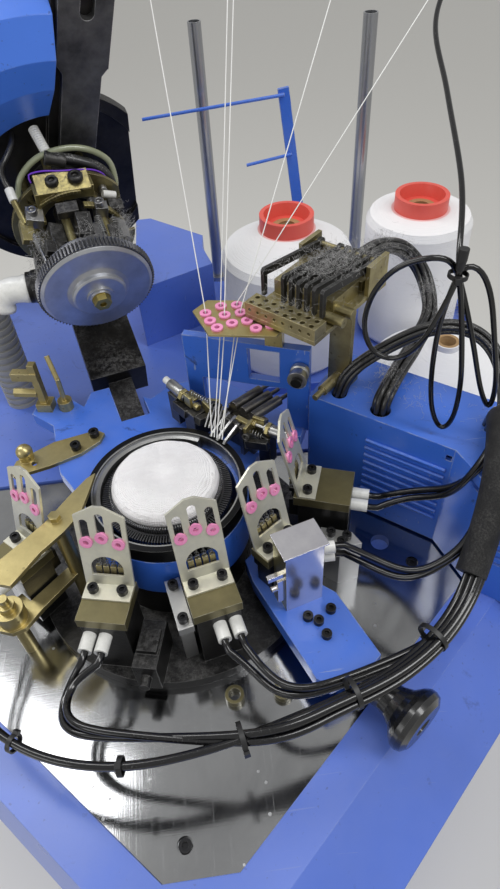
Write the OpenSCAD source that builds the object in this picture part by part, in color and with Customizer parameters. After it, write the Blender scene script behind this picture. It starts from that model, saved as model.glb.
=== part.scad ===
// Single cylinder sock knitting machine with its dial head raised.
// Origin on the needle cylinder's axis at floor level, +Z up, the operator stands towards -Y.

/* [Bed] */
// Height of the polished bed plate above the floor
bed_height = 900; // [850:10:950]
// Thickness of the polished bed plate
bed_plate_thick = 8; // [6:1:10]
// Distance from the cylinder's axis to the plate's front edge
bed_front = 270; // [262:2:300]
// Distance from the axis to the plate's left diagonal edge
bed_left = 210; // [206:2:230]
// Distance from the axis to the plate's right diagonal edge
bed_right = 222; // [218:2:240]
// Angle of the left diagonal edge
bed_left_angle = 45; // [43:1:47]
// Angle of the right diagonal edge
bed_right_angle = 41; // [39:1:43]
// Width of the flat blue rim round the plate
rim_width = 32; // [26:1:36]
// Width of the sloping skirt outside the rim
skirt_width = 58; // [40:2:62]
// How far the rim stands above the plate
rim_lip = 3; // [2:0.5:5]
// Distance from the axis to the left side of the bed
side_left = 300; // [290:5:330]
// Distance from the axis to the right side of the bed
side_right = 410; // [406:2:430]
// Distance from the axis to the rear of the bed
rear_depth = 535; // [530:5:560]
// Where the polished plate ends and the painted rear deck begins
deck_start = 120; // [118:1:124]

/* [Cabinet] */
// Thickness of the floor plate
floor_plate_thick = 12; // [8:1:16]
// Wall of the folded steel cabinet
cabinet_wall = 4; // [3:0.5:6]
// How far the cabinet stands back under the rim
cabinet_inset = 14; // [10:1:20]
// Thickness of an access panel
panel_thick = 2.5; // [2:0.5:4]
// Louvres in each access panel
louvre_count = 7; // [4:1:9]

/* [Needle cylinder] */
// Outer diameter of the needle cylinder
cylinder_dia = 95; // [92:1:98]
// Height of the needle tops above the bed plate
needle_rise = 110; // [106:1:116]
// Needles round the cylinder
needle_count = 144; // [96:12:168]
// Radius of a needle's stem
needle_r = 0.45; // [0.4:0.05:0.5]
// Width of a needle groove
groove_width = 1.2; // [1.1:0.05:1.3]
// Depth of a needle groove
groove_depth = 1.6; // [1.4:0.1:1.8]
// Wall of the cylinder behind the grooves
cylinder_wall = 5; // [4:0.5:6]
// Radius over the sinker tips
sinker_tip_r = 56.5; // [55:0.5:57]
// Radius of the dark ring round the needles
outer_ring_r = 70; // [69:0.5:70.5]
// Radial width of the dark ring
outer_ring_width = 6.6; // [5:0.2:7]
// Height of the dark ring and the sinker cap
ring_height = 15; // [13:1:16]
// Radial clearance between turning and standing parts
running_gap = 1.5; // [1:0.1:2]
// Radius of the black cam disc on the bed
cam_disc_r = 133; // [130:1:135]
// Thickness of the cam disc
cam_disc_thick = 12; // [10:1:14]

/* [Feeder stations] */
// Width of an eye bracket
bracket_width = 40; // [38:1:41]
// Length of the bracket's leaning plate up to its shoulders
bracket_shoulder = 68; // [66:1:70]
// Length of the leaning plate at its point
bracket_point = 77; // [76:1:78]
// Lean of the plate towards the cylinder
bracket_lean = 14; // [12:1:15]
// Thickness of the bracket
bracket_thick = 2; // [1.5:0.5:2.5]
// Length of the bracket's flat foot
bracket_foot = 16; // [15:1:18]
// Distance of the middle eye from the fold
eye_height = 48; // [46:1:50]
// Sideways distance between two eyes
eye_pitch = 12.8; // [12.4:0.2:13]
// How much lower the two outer eyes sit
eye_drop = 5; // [3:1:6]
// Outer diameter of a ceramic eyelet
eyelet_dia = 10.3; // [9.5:0.1:10.6]
// Bore of a ceramic eyelet
eyelet_bore = 4.4; // [3.6:0.2:5]
// Width of the three thread slots
slot_width = 7; // [6.6:0.2:7.4]
// Thickness of the bronze coloured slab on a selector block
slab_thick = 10; // [8:1:11]

/* [Lever bank] */
// Levers in the bank
lever_count = 7; // [7:1:7]
// Thickness of a lever
lever_thick = 3.2; // [2.8:0.2:3.6]
// Height of a lever's section
lever_height = 7; // [6:0.5:8]
// Distance between two levers
lever_pitch = 7.6; // [7.2:0.1:8]
// Radius of the lever shaft
lever_shaft_r = 2.5; // [2.3:0.1:2.7]

/* [Dial head] */
// Angle by which the head is swung up and back
head_raise = 71; // [66:1:72]
// Compass turn of the head's hinge
head_turn = 14.5; // [13:0.5:16]
// Distance from the dial's axis back to the hinge
hinge_back = 150; // [148:1:154]
// Depth of the hinge below the needle tops
hinge_drop = 86; // [84:1:88]
// Radius of the dial plate
dial_r = 54; // [53:0.5:54.5]
// Radius over the saw teeth
saw_r = 57; // [56.5:0.5:58]
// Teeth of the saw ring
saw_teeth = 96; // [72:12:120]
// Height of the dial plate above the needles when lowered
dial_clear = 5; // [4:0.5:6]
// Radius of the hinge pin
hinge_pin_r = 9; // [8:0.5:10]
// Radial clearance of the hinge pin
pin_clear = 0.06; // [0.03:0.01:0.1]

/* [Yarn] */
// Diameter of a yarn strand as drawn
yarn_dia = 0.9; // [0.8:0.1:1.2]
// Radius of the fullest rear package
cone_a_r = 77; // [70:1:79]
// Radius of the smaller rear package
cone_b_r = 62; // [58:1:66]
// Radius of the low package
cone_c_r = 85; // [80:1:86]
// Outer radius of the red rim of a cone
cone_rim_r = 31; // [29:1:33]
// Radius of the pegs that hold the cones
peg_r = 9; // [8:0.5:10]
// Outer radius of the creel poles
pole_r = 8; // [7:0.5:9]

/* [Hoses] */
// Diameter of a pneumatic hose
hose_dia = 6; // [5:0.5:7]
// Diameter of the gathered cable bundle
bundle_dia = 17; // [14:1:19]

/* [Hidden] */
$fn = 64;

needle_top = bed_height + needle_rise;
deck_top = bed_height + rim_lip;
cylinder_r = cylinder_dia / 2;
cylinder_bore = cylinder_r - groove_depth - cylinder_wall;
needle_circle = cylinder_r - groove_depth / 2;
neck_r = cylinder_r - 3.5;
ring_seat = -ring_height - 0.5;
ring_inner = outer_ring_r - outer_ring_width;
cam_bore = sinker_tip_r - 4;
disc_top = -needle_rise + cam_disc_thick;
foot_top = -22;
slab_top = foot_top - bracket_thick;
slab_base = slab_top - slab_thick;
steel = [0.70, 0.71, 0.72];
blue = [0.27, 0.50, 0.90];
rim_blue = [0.37, 0.45, 0.84];
brass = [0.65, 0.58, 0.33];
black = [0.06, 0.06, 0.07];
khaki = [0.51, 0.47, 0.30];
cream = [0.84, 0.84, 0.75];

// Each feeder station: x and y under its middle eye, the way it faces, length of its slab.
STATIONS = [[-110, -16, -135, 34], [-47, -66, -104, 38], [23.5, -69, -78, 38],
    [77, -43, -54, 20], [108, 8, -20, 50]];

// Half plane whose edge lies at a distance along a compass direction.
module half_plane(angle, distance) {
    rotate(angle) translate([distance - 3000, -3000]) square([3000, 6000]);
}

// Plan of the bed, widened by separate amounts at the front, left and right edges.
module bed_outline(front = 0, left = 0, right = 0, side = 0, back = 0) {
    intersection() {
        half_plane(-90, bed_front + front);
        half_plane(-90 - bed_left_angle, bed_left + left);
        half_plane(-90 + bed_right_angle, bed_right + right);
        half_plane(180, side_left + side);
        half_plane(0, side_right + side);
        half_plane(90, rear_depth + back);
    }
}

module at_needles() {
    translate([0, 0, needle_top]) children();
}

module at_station(i) {
    at_needles() translate([STATIONS[i][0], STATIONS[i][1], 0]) rotate(STATIONS[i][2]) children();
}

// Ring with a square section.
module ring(outer, inner, height) {
    difference() {
        cylinder(r = outer, h = height);
        translate([0, 0, -1]) cylinder(r = inner, h = height + 2);
    }
}

// Socket head screw standing on z = 0.
module cap_screw(head_r = 4.25, head_h = 5, shank = 0) {
    difference() {
        cylinder(r = head_r, h = head_h, $fn = 32);
        translate([0, 0, head_h * 0.45]) cylinder(r = head_r * 0.56, h = head_h, $fn = 6);
    }
}

module base_plate() {
    color(black) linear_extrude(floor_plate_thick)
        bed_outline(-cabinet_inset, -cabinet_inset, -cabinet_inset, -20, -20);
}

cabinet_top = bed_height - 60;
panel_len = 340;
panel_high = 460;

module access_panel() {
    difference() {
        cube([panel_thick, panel_len, panel_high]);
        for (k = [0 : louvre_count - 1]) {
            translate([-1, panel_len * 0.2, 60 + k * 22]) cube([panel_thick + 2, panel_len * 0.6, 5]);
        }
        translate([-1, panel_len / 2, panel_high - 40]) rotate([0, 90, 0]) cylinder(r = 8, h = 10);
    }
}

module cabinet() {
    color(rim_blue) {
        translate([0, 0, floor_plate_thick]) difference() {
            linear_extrude(cabinet_top - floor_plate_thick)
                bed_outline(-cabinet_inset, -cabinet_inset, -cabinet_inset, -20, -20);
            translate([0, 0, -1]) linear_extrude(cabinet_top)
                bed_outline(-cabinet_inset - cabinet_wall, -cabinet_inset - cabinet_wall,
                    -cabinet_inset - cabinet_wall, -20 - cabinet_wall, -20 - cabinet_wall);
            for (x = [-side_left, side_right - 40]) {
                translate([x, 110, 150]) cube([40, panel_len - 40, panel_high - 40]);
            }
        }
        translate([-side_left + 20 - panel_thick, 90, 142]) access_panel();
        translate([side_right - 20, 90, 142]) access_panel();
    }
}

frame_floor = bed_height - bed_plate_thick;
frame_web = 10;
drive_hole_r = 126;

module bed_frame() {
    color(rim_blue) difference() {
        union() {
            hull() {
                translate([0, 0, cabinet_top]) linear_extrude(26)
                    bed_outline(rim_width + skirt_width, rim_width + 14, rim_width + skirt_width);
                translate([0, 0, deck_top - 2]) linear_extrude(2)
                    bed_outline(rim_width, rim_width + 4, rim_width);
            }
        }
        translate([0, 0, frame_floor]) intersection() {
            linear_extrude(40) bed_outline(0, 0, 0, -rim_width);
            translate([-1000, -1000, 0]) cube([2000, 1000 + deck_start, 60]);
        }
        translate([0, 0, cabinet_top - 1]) linear_extrude(frame_floor - frame_web - cabinet_top + 1)
            bed_outline(-cabinet_inset - cabinet_wall, -cabinet_inset - cabinet_wall,
                -cabinet_inset - cabinet_wall, -20 - cabinet_wall, -20 - cabinet_wall);
        translate([0, 0, cabinet_top]) cylinder(r = drive_hole_r, h = 200);
        translate([0, 0, bed_height]) cylinder(r = cam_disc_r + 2, h = 20);
        for (p = RIM_SCREWS) {
            translate([p[0], p[1], cabinet_top]) cylinder(r = 5.5, h = 100);
        }
    }
}
RIM_SCREWS = [[-258, 20], [-258, 100]];

// Screws that hold the polished plate: x and y.
PLATE_SCREWS = [[-10, -248], [219, -41], [-175, -105], [-200, 60]];
cable_hole = [195, -14];
plate_gap = 0.5;

module bed_plate() {
    color(steel) translate([0, 0, frame_floor]) difference() {
        intersection() {
            linear_extrude(bed_plate_thick) bed_outline(-plate_gap, -plate_gap, -plate_gap, -rim_width - plate_gap);
            translate([-1000, -1000, 0]) cube([2000, 1000 + deck_start - plate_gap, 60]);
        }
        translate([0, 0, -1]) cylinder(r = cam_bore + 3, h = 20);
        translate([cable_hole[0], cable_hole[1], -1]) cylinder(r = 9, h = 20);
        for (p = PLATE_SCREWS) {
            translate([p[0], p[1], bed_plate_thick - 5]) cylinder(r = 6, h = 10);
        }
    }
}

// Places of the loose socket screws that stand on the bed, the arm and the levers' base.
ARM_SCREWS = [[105, -108], [113, -113], [125, -104], [117, -126]];
BRASS_SCREWS = [[-72, 99], [-89, 84]];

module cap_screws() {
    color(black) {
        for (p = PLATE_SCREWS) {
            translate([p[0], p[1], bed_height - 5]) cap_screw(5, 4.6);
        }
        for (i = [0 : len(STATIONS) - 1]) {
            for (side = [-1, 1]) {
                at_station(i) translate([foot_x + 8, side * 12, foot_top]) cap_screw();
            }
        }
        for (x = [6, 38]) {
            at_station(2) translate([x, -27, riser_top]) cap_screw();
        }
        at_needles() {
            for (p = ARM_SCREWS) {
                translate([p[0], p[1], arm_top]) cap_screw();
            }
            for (p = BRASS_SCREWS) {
                translate([p[0], p[1], table_top + 4]) cap_screw(5, 6);
            }
            for (p = [[139, -36], [152, -42], [146, -47.5]]) {
                translate([p[0], p[1], side_block_top]) cap_screw();
            }
            in_window() translate([8, 0, roller_z]) rotate([-90, 0, 0]) {
                cylinder(r = roller_pin_r, h = 17.6);
                translate([0, 0, 17.4]) cylinder(r = 5, h = 3);
            }
        }
    }
}

// The cable box stands across the bed's right corner: u runs along its wall, c away from it.
box_turn = -39.8;
box_c = 141;
box_depth = 75;
box_top = 20;
GLANDS = [[127, 155.3], [221.2, 184.3]];
gland_gap = 0.6;

module in_box() {
    at_needles() rotate(box_turn) children();
}

module box_plan(inset = 0) {
    polygon([[62 + inset, box_c + inset], [202 + inset * 0.6, box_c + inset],
        [252 + inset * 0.6, box_c - 34 + inset], [318 - inset, box_c - 34 + inset],
        [318 - inset, box_c + box_depth - inset], [62 + inset, box_c + box_depth - inset]]);
}

module cable_box() {
    color(blue) in_box() difference() {
        translate([0, 0, -needle_rise + rim_lip]) linear_extrude(needle_rise - rim_lip + box_top) box_plan();
        translate([0, 0, -needle_rise - 10]) linear_extrude(needle_rise + box_top + 10 - 4) box_plan(4);
        translate([85, 157, -10]) cylinder(r = 7, h = 60);
        for (p = GLANDS) {
            translate([p[0], p[1], -10]) cylinder(r = bundle_dia / 2 + gland_gap, h = 60);
        }
        for (k = [0 : 7]) {
            translate([258, box_c - 35, box_top - 16 - 9 * k]) cube([54, 2.5, 3.5]);
        }
        translate([225, 140, 6]) cube([12, 40, 5], center = true);
        translate([198, 140, 8]) cube([5, 40, 6], center = true);
    }
}

// Places of the three packages: x, y.
CONES = [[157, 312], [318, 325], [312, 172]];
tray_lip = 12;
shelf_high = 87;
SHELF = [[-30, 345], [70, 390], [61, 432], [63, 468], [-9, 535], [-30, 535]];

module tray_plan(inset = 0) {
    intersection() {
        union() {
            translate([64 + inset, 216 + inset]) square([336 - 2 * inset, 186 - 2 * inset]);
            translate([225 + inset, 82 + inset]) square([175 - 2 * inset, 200 - 2 * inset]);
        }
        rotate(box_turn) translate([-500, box_c + box_depth + 4 + inset]) square([1500, 1000]);
    }
}

module cone_tray() {
    color(rim_blue) translate([0, 0, deck_top]) {
        difference() {
            linear_extrude(tray_lip) tray_plan();
            translate([0, 0, 2]) linear_extrude(tray_lip) tray_plan(2);
        }
        for (p = CONES) {
            translate([p[0], p[1], 1.5]) cylinder(r = peg_r, h = 46);
        }
        difference() {
            linear_extrude(shelf_high) polygon(SHELF);
            translate([0, 0, -1]) linear_extrude(shelf_high - 2)
                polygon([[-27, 349], [67, 392], [58, 432], [60, 466], [-12, 532], [-27, 532]]);
        }
    }
}

POLES = [[81, 500, 228], [267, 395 + 22, 240]];

module creel_poles() {
    color([0.78, 0.79, 0.80]) for (p = POLES) {
        translate([p[0], p[1], deck_top]) {
            difference() {
                cylinder(r = pole_r, h = needle_top + p[2] - deck_top);
                translate([0, 0, 6]) cylinder(r = pole_r - 1.5, h = 1000);
            }
            ring(pole_r + 6, pole_r, 6);
        }
    }
}

// Blue flat bar with two thin rods that carry spare thread guides.
bar_foot = [212, 470];
bar_lean = 7;
bar_len = 266;

module guide_bracket() {
    color(blue) translate([bar_foot[0], bar_foot[1], deck_top]) {
        translate([-15, -10, 0]) cube([30, 20, 4]);
        rotate([0, -bar_lean, 0]) {
            translate([-7, -2, 1]) cube([14, 4, bar_len]);
            translate([0, -4, bar_len - 6]) rotate([0, -94 + bar_lean, 0]) cylinder(r = 2, h = 175, $fn = 24);
            translate([0, -4, bar_len - 78]) rotate([0, -98 + bar_lean, 0]) cylinder(r = 2, h = 60, $fn = 24);
        }
    }
}

// Overhead guide stand at the rear left, outside the picture: a mast and an arm with thread eyes.
STRAND_TOPS = [[32, 304], [119, 303], [126, 318], [246, 316], [391, 317]];
mast_at = [-272, 508];
arm_swing = 14;
guide_height = 430;

module yarn_stand() {
    color(steel) {
        translate([mast_at[0], mast_at[1], deck_top]) {
            cylinder(r = 26, h = 8);
            cylinder(r = 12, h = needle_top + guide_height - deck_top + 12);
        }
        at_needles() translate([mast_at[0], mast_at[1], guide_height]) rotate([0, 90, -arm_swing])
            cylinder(r = 7, h = 690);
        at_needles() for (p = STRAND_TOPS) {
            y_bar = mast_at[1] - (p[0] - mast_at[0]) * tan(arm_swing);
            translate([p[0], min(p[1], y_bar) - 4, guide_height - 9]) rotate([-90, 0, 0])
                cylinder(r = 2, h = abs(y_bar - p[1]) + 8, $fn = 24);
            translate([p[0], p[1], guide_height - 12]) ring(5, yarn_dia, 6);
        }
    }
}

// A wound package: conical shoulder, red rim with a hollow core, bore for the peg.
module package(r, body, top, rim_r, rim_h) {
    difference() {
        rotate_extrude($fn = 96) polygon([[peg_r + 1, 0], [r - 6, 0], [r, 8], [r, body - 8], [r - 4, body],
            [rim_r + 2, top - rim_h], [rim_r, top - rim_h], [rim_r, top], [rim_r - 5, top],
            [rim_r - 8, top - 14], [peg_r + 1, top - 14]]);
    }
}

module yarn_cones() {
    color([0.95, 0.95, 0.96]) {
        translate([CONES[0][0], CONES[0][1], deck_top + 2.2]) package(cone_a_r, 142, 182, cone_rim_r, 17);
        translate([CONES[1][0], CONES[1][1], deck_top + 2.2]) package(cone_b_r, 160, 182, cone_rim_r, 17);
        translate([CONES[2][0], CONES[2][1], deck_top + 2.2]) package(cone_c_r, 48, 86, 14, 7);
    }
}

box_inner_x = 1;

// Black cam disc, cam ring round the cylinder and the five selector housings on the disc.
module cam_box() {
    color(black) {
        at_needles() difference() {
            union() {
                translate([0, 0, -needle_rise]) cylinder(r = cam_disc_r, h = cam_disc_thick);
                translate([0, 0, disc_top - 1]) cylinder(r = outer_ring_r - 2, h = -table_ring_base_gap());
            }
            translate([0, 0, -needle_rise - 1]) cylinder(r = cam_bore, h = 200);
        }
        for (i = [0 : len(STATIONS) - 1]) {
            at_station(i) selector(STATIONS[i][3], i == 3 ? arm_top : disc_top);
        }
        at_needles() translate([112, -65, disc_top]) cube([10, 14, 62]);
        at_station(1) {
            translate([20, 22, disc_top]) cube([42, 20, 36]);
            translate([30, 24, disc_top + 36]) cube([20, 16, 5]);
            translate([62, 32, disc_top + 20]) rotate([0, 90, 0]) cylinder(r = 4.5, h = 9, $fn = 32);
        }
    }
}
function table_ring_base_gap() = disc_top - 1 - table_ring_base;
table_ring_base = -60;

// Housing with four selector jacks that show through the bracket's arch.
module selector(len, base) {
    translate([12, -18, base]) cube([len - 4, 36, slab_base - base]);
    translate([box_inner_x + 2, -14, max(base, -56)]) cube([12, 28, slab_base - max(base, -56)]);
    for (k = [-1.5, -0.5, 0.5, 1.5]) {
        translate([3.6 + abs(k), k * 6 - 1.6, slab_base - 1]) cube([2.4, 3.2, 20 + abs(k)]);
        translate([1.4 + abs(k), k * 6 - 2.4, slab_base + 8]) cube([4.5, 4.8, 5]);
    }
}

table_top = -30;
table_thick = 14;
ring_turn = 60;

// Cast feeder table: ring under the sinkers, table behind it, window bracket at the right rear.
module feeder_table() {
    color(blue) at_needles() {
        difference() {
            union() {
                translate([0, 0, table_ring_base]) cylinder(r = outer_ring_r + 0.4, h = ring_seat - table_ring_base);
                translate([0, 0, table_top - table_thick]) linear_extrude(table_thick)
                    polygon([[-62, -10], [-104, 58], [-116, 124], [-140, 146], [-132, 172], [-100, 162], [-86, 148], [-80, 170],
                        [-58, 175], [-16, 148],
                        [8, 168], [56, 172], [120, 102], [141, 90], [130, 66], [96, 66], [70, 20]]);
            }
            translate([0, 0, -200]) cylinder(r = ring_inner - 3, h = 400);
            rotate(head_turn) translate([-neck_half - 2, hinge_back - neck_front - 2, -60]) cube([2 * neck_half + 4, 90, 60]);
        }
        for (p = [[-88, 74], [-34, 102], [50, 104]]) {
            translate([p[0], p[1], disc_top]) cylinder(r = 13, h = table_top - 2 - disc_top);
        }
        window_bracket();
    }
}

// The window bracket stands across the table: x runs along it to the left, y to the front.
window_base = [139, 75];
window_turn = 157.2;
window_top = 66;

module in_window() {
    translate([window_base[0], window_base[1], 0]) rotate(window_turn) children();
}

// Upright plate with a rectangular window; its top edge carries the eye plate.
module window_bracket() {
    in_window() {
        difference() {
            translate([0, -8, table_top - 2]) cube([121, 8, window_top - table_top + 2]);
            translate([28, -20, 25]) cube([30, 40, 35]);
            translate([21, -20, table_top]) cube([84, 40, 18 - table_top]);
        }
        translate([4, -22, table_top - 2]) cube([8, 16, window_top - table_top - 14]);
    }
}

module outer_ring() {
    color([0.16, 0.15, 0.15]) at_needles() translate([0, 0, ring_seat]) ring(outer_ring_r, ring_inner, ring_height);
}

module sinker_cap() {
    color([0.80, 0.80, 0.78]) at_needles() translate([0, 0, ring_seat]) rotate(58)
        rotate_extrude(angle = 146, $fn = 96)
        polygon([[sinker_tip_r + 0.8, 2], [sinker_tip_r + 0.8, ring_height - 2], [ring_inner - 3, ring_height - 1],
            [ring_inner - 0.3, ring_height - 1], [ring_inner - 0.3, 0], [ring_inner - 2.8, 0], [ring_inner - 2.8, 2]]);
}

// Grooved needle cylinder on its driving neck.
module needle_cylinder() {
    color(steel) at_needles() difference() {
        union() {
            translate([0, 0, -94]) linear_extrude(92) difference() {
                polygon([for (i = [0 : needle_count - 1], q = [0 : 3])
                    let (a = 360 / needle_count * i, w = asin(groove_width / 2 / cylinder_r),
                        side = q < 2 ? -w : w, r = q == 0 || q == 3 ? cylinder_r : cylinder_r - groove_depth)
                    [r * cos(a + side), r * sin(a + side)]]);
                circle(r = cylinder_bore, $fn = 128);
            }
            translate([0, 0, -215]) cylinder(r = neck_r, h = 121.5);
        }
        translate([0, 0, -220]) cylinder(r = cylinder_bore, h = 230, $fn = 128);
    }
}

module needles() {
    color([0.85, 0.85, 0.86]) at_needles() for (i = [0 : needle_count - 1]) {
        rotate(360 / needle_count * i) translate([needle_circle, 0, -92]) cylinder(r = needle_r, h = 92, $fn = 13);
    }
}

// Toothed ring of sinkers that lies round the cylinder's top.
module sinkers() {
    color([0.30, 0.30, 0.31]) at_needles() translate([0, 0, -13]) difference() {
        linear_extrude(6) polygon([for (i = [0 : needle_count - 1], q = [0 : 3])
            let (a = 360 / needle_count * i, w = 360 / needle_count * 0.26,
                side = q < 2 ? -w : w, r = q == 0 || q == 3 ? cylinder_r + 2.2 : sinker_tip_r)
            [r * cos(a + side), r * sin(a + side)]]);
        translate([0, 0, -1]) cylinder(r = cylinder_r + 0.3, h = 10, $fn = 128);
    }
}

// White knitted tube drawn down inside the cylinder.
module knitted_fabric() {
    color([0.96, 0.95, 0.95]) at_needles() rotate_extrude($fn = 96)
        polygon([[0, -70], [cylinder_bore - 0.5, -70], [cylinder_bore - 0.5, -1.6], [cylinder_r - 2.2, -1.6],
            [cylinder_r - 1.2, 1.2], [cylinder_r - 5, 3.6], [cylinder_r - 14, 5.6], [cylinder_r - 28, 7], [0, 7.6]]);
}

pulley_r = 60;
belt_width = 20;
pulley_z = -212;
motor_at = [0, 330];
motor_pulley_r = 30;
belt_thick = 3;

// Toothed belt pulley outline.
module toothed(r, teeth, depth) {
    polygon([for (i = [0 : teeth - 1], q = [0 : 3])
        let (a = 360 / teeth * (i + q / 4), s = q < 2 ? r : r - depth) [s * cos(a), s * sin(a)]]);
}

module cylinder_pulley() {
    color([0.25, 0.26, 0.27]) at_needles() translate([0, 0, pulley_z]) difference() {
        union() {
            linear_extrude(belt_width) toothed(pulley_r, 60, 1.6);
            translate([0, 0, -3]) cylinder(r = pulley_r + 4, h = 3);
            translate([0, 0, belt_width]) cylinder(r = pulley_r + 4, h = 3);
        }
        translate([0, 0, -10]) cylinder(r = neck_r + 0.05, h = 60);
    }
}

// Flat belt round both pulleys, built from two arcs and two tangent runs.
module belt_plan(extra) {
    d = motor_at[1];
    t = asin((pulley_r - motor_pulley_r) / d);
    ra = pulley_r + extra;
    rb = motor_pulley_r + extra;
    circle(r = ra, $fn = 128);
    translate([0, d]) circle(r = rb, $fn = 128);
    polygon([[ra * cos(t), ra * sin(t)], [-ra * cos(t), ra * sin(t)],
        [-rb * cos(t), d + rb * sin(t)], [rb * cos(t), d + rb * sin(t)]]);
}

module drive_belt() {
    color(black) at_needles() translate([0, 0, pulley_z + 0.3]) linear_extrude(belt_width - 0.6) difference() {
        belt_plan(0.3 + belt_thick);
        belt_plan(0.3);
    }
}

module drive_motor() {
    color([0.20, 0.21, 0.23]) at_needles() translate([motor_at[0], motor_at[1], 0]) {
        translate([-65, -65, pulley_z - 22]) cube([130, 130, 10]);
        translate([0, 0, pulley_z - 190]) cylinder(r = 58, h = 170);
        for (a = [0 : 15 : 345]) {
            rotate(a) translate([56, -1.5, pulley_z - 180]) cube([8, 3, 150]);
        }
        translate([0, 0, pulley_z - 20]) cylinder(r = 9, h = 48);
        for (x = [-55, 55], y = [-55, 55]) {
            translate([x, y, pulley_z - 20]) cylinder(r = 6, h = frame_floor - frame_web - needle_top - pulley_z + 20);
        }
    }
}

module motor_pulley() {
    color([0.25, 0.26, 0.27]) at_needles() translate([motor_at[0], motor_at[1], pulley_z]) difference() {
        union() {
            linear_extrude(belt_width) toothed(motor_pulley_r, 30, 1.6);
            translate([0, 0, -3]) cylinder(r = motor_pulley_r + 4, h = 3);
            translate([0, 0, belt_width]) cylinder(r = motor_pulley_r + 4, h = 3);
        }
        translate([0, 0, -10]) cylinder(r = 9 + pin_clear, h = 60);
    }
}

arm_top = -66;
arm_thick = 16;

// Blue arm from the ring casting out to the hand knob, with a raised outer pad.
module front_arm() {
    color(blue) at_needles() difference() {
        union() {
            translate([0, 0, arm_top - arm_thick]) linear_extrude(arm_thick)
                polygon([[60, -44], [76, -30], [108, -66], [133, -88], [156, -148], [146, -157], [112, -167],
                    [102, -160], [80, -106], [64, -66]]);
            translate([106, -96, -needle_rise]) cylinder(r = 11, h = 40);
            translate([132, -142, -needle_rise]) cylinder(r = 9, h = 40);
        }
        translate([0, 0, -200]) cylinder(r = cam_disc_r - 60, h = 300);
        translate([0, 0, -needle_rise - 1]) cylinder(r = cam_disc_r + 0.5, h = cam_disc_thick + 1.4);
        knob_axis() translate([0, 0, -30]) cylinder(r = knob_shaft_r + pin_clear, h = 60);
    }
}

knob_shaft_r = 5;
knob_turn = -54;

module knob_axis() {
    translate([134, -150, arm_top - arm_thick / 2]) rotate([0, 90, knob_turn]) children();
}

// Bell shaped hand knob on its shaft.
module arm_knob() {
    color(black) at_needles() knob_axis() {
        translate([0, 0, -26]) cylinder(r = knob_shaft_r, h = 50);
        translate([0, 0, 15]) rotate_extrude() polygon([[0, 0], [15, 0], [14, 8], [12.5, 18], [13.5, 25], [17, 32],
            [23, 37], [26, 41], [26.5, 45], [25, 49], [20, 52], [8, 52], [7, 50], [0, 50]]);
    }
}

foot_x = 11.5;
fold_relief = 0.5;

// Pentagon plate with three slots and an arched window, folded to a flat foot.
module eye_bracket() {
    translate([foot_x, 0, foot_top]) {
        rotate([0, -bracket_lean, 0]) rotate([90, 0, 90]) linear_extrude(bracket_thick) difference() {
            polygon([[-bracket_width / 2, -1], [bracket_width / 2, -1], [bracket_width / 2, bracket_shoulder],
                [4, bracket_point], [-4, bracket_point], [-bracket_width / 2, bracket_shoulder]]);
            for (k = [-1, 0, 1]) {
                base = eye_height - abs(k) * eye_drop;
                top = bracket_shoulder - 4 + (k == 0 ? 3 : -3);
                polygon([for (a = [0 : 15 : 345]) [k * eye_pitch + slot_width / 2 * cos(a),
                    (a > 0 && a < 180 ? top : base) + slot_width / 2 * sin(a)]]);
            }
            polygon(concat([[-13, 9], [13, 9]], [for (a = [15 : 15 : 165]) [13.6 * cos(a), 15 + 13.6 * sin(a)]]));
        }
        translate([0, 0, -bracket_thick]) difference() {
            translate([0, fold_relief - bracket_width / 2, 0])
                cube([bracket_foot, bracket_width - 2 * fold_relief, bracket_thick]);
            for (side = [-1, 1]) {
                translate([8, side * 12, -1]) cylinder(r = 2.6, h = 5, $fn = 24);
            }
        }
    }
}

module eye_brackets() {
    color(cream) for (i = [0 : len(STATIONS) - 1]) {
        at_station(i) eye_bracket();
    }
}

riser_top = -35;
side_block_top = -54;

// Bronze coloured slabs of the five selector blocks, the riser bar and the side block.
module feeder_blocks() {
    color(khaki) for (i = [0 : len(STATIONS) - 1]) {
        at_station(i) translate([8, -20, slab_base]) cube([STATIONS[i][3], 40, slab_thick]);
    }
    color(steel) {
        at_station(2) {
            translate([-1, -33, riser_top - 8]) cube([47, 12.5, 8]);
            translate([16, -32, disc_top]) cube([22, 11, riser_top - 7 - disc_top]);
        }
        at_needles() {
            translate([0, 0, -needle_rise]) linear_extrude(needle_rise + side_block_top)
                polygon([[131.6, -27], [158, -37], [164, -50], [144, -53], [129.4, -40]]);
            for (p = [[37, -147], [77, -149]]) {
                translate([p[0], p[1], -needle_rise]) ring(8, 5, 7);
            }
        }
    }
}

// Pink ceramic eyelet: flange in front of the plate, barrel in the slot.
module eyelet() {
    difference() {
        union() {
            translate([0, 0, bracket_thick + 0.1]) cylinder(r = eyelet_dia / 2, h = 1.6, $fn = 40);
            translate([0, 0, -0.8]) cylinder(r = slot_width / 2 - 0.15, h = bracket_thick + 1.2, $fn = 32);
        }
        translate([0, 0, -3]) cylinder(r = eyelet_bore / 2, h = 10, $fn = 32);
    }
}

PLATE_EYES = [[52, 100], [66, 108], [80, 107], [55, 88], [68, 94], [82, 95], [96, 95], [60, 77], [73, 81],
    [86, 82], [99, 83], [92, 70], [105, 72], [108, 84]];

module eyelets() {
    color([0.92, 0.51, 0.75]) {
        for (i = [0 : len(STATIONS) - 1], k = [-1, 0, 1]) {
            at_station(i) translate([foot_x, 0, foot_top]) rotate([0, -bracket_lean, 0]) rotate([90, 0, 90])
                translate([k * eye_pitch, eye_height - abs(k) * eye_drop, 0]) eyelet();
        }
        at_needles() for (p = PLATE_EYES) {
            translate([p[0], p[1], eye_plate_z]) eyelet();
        }
    }
}

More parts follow.
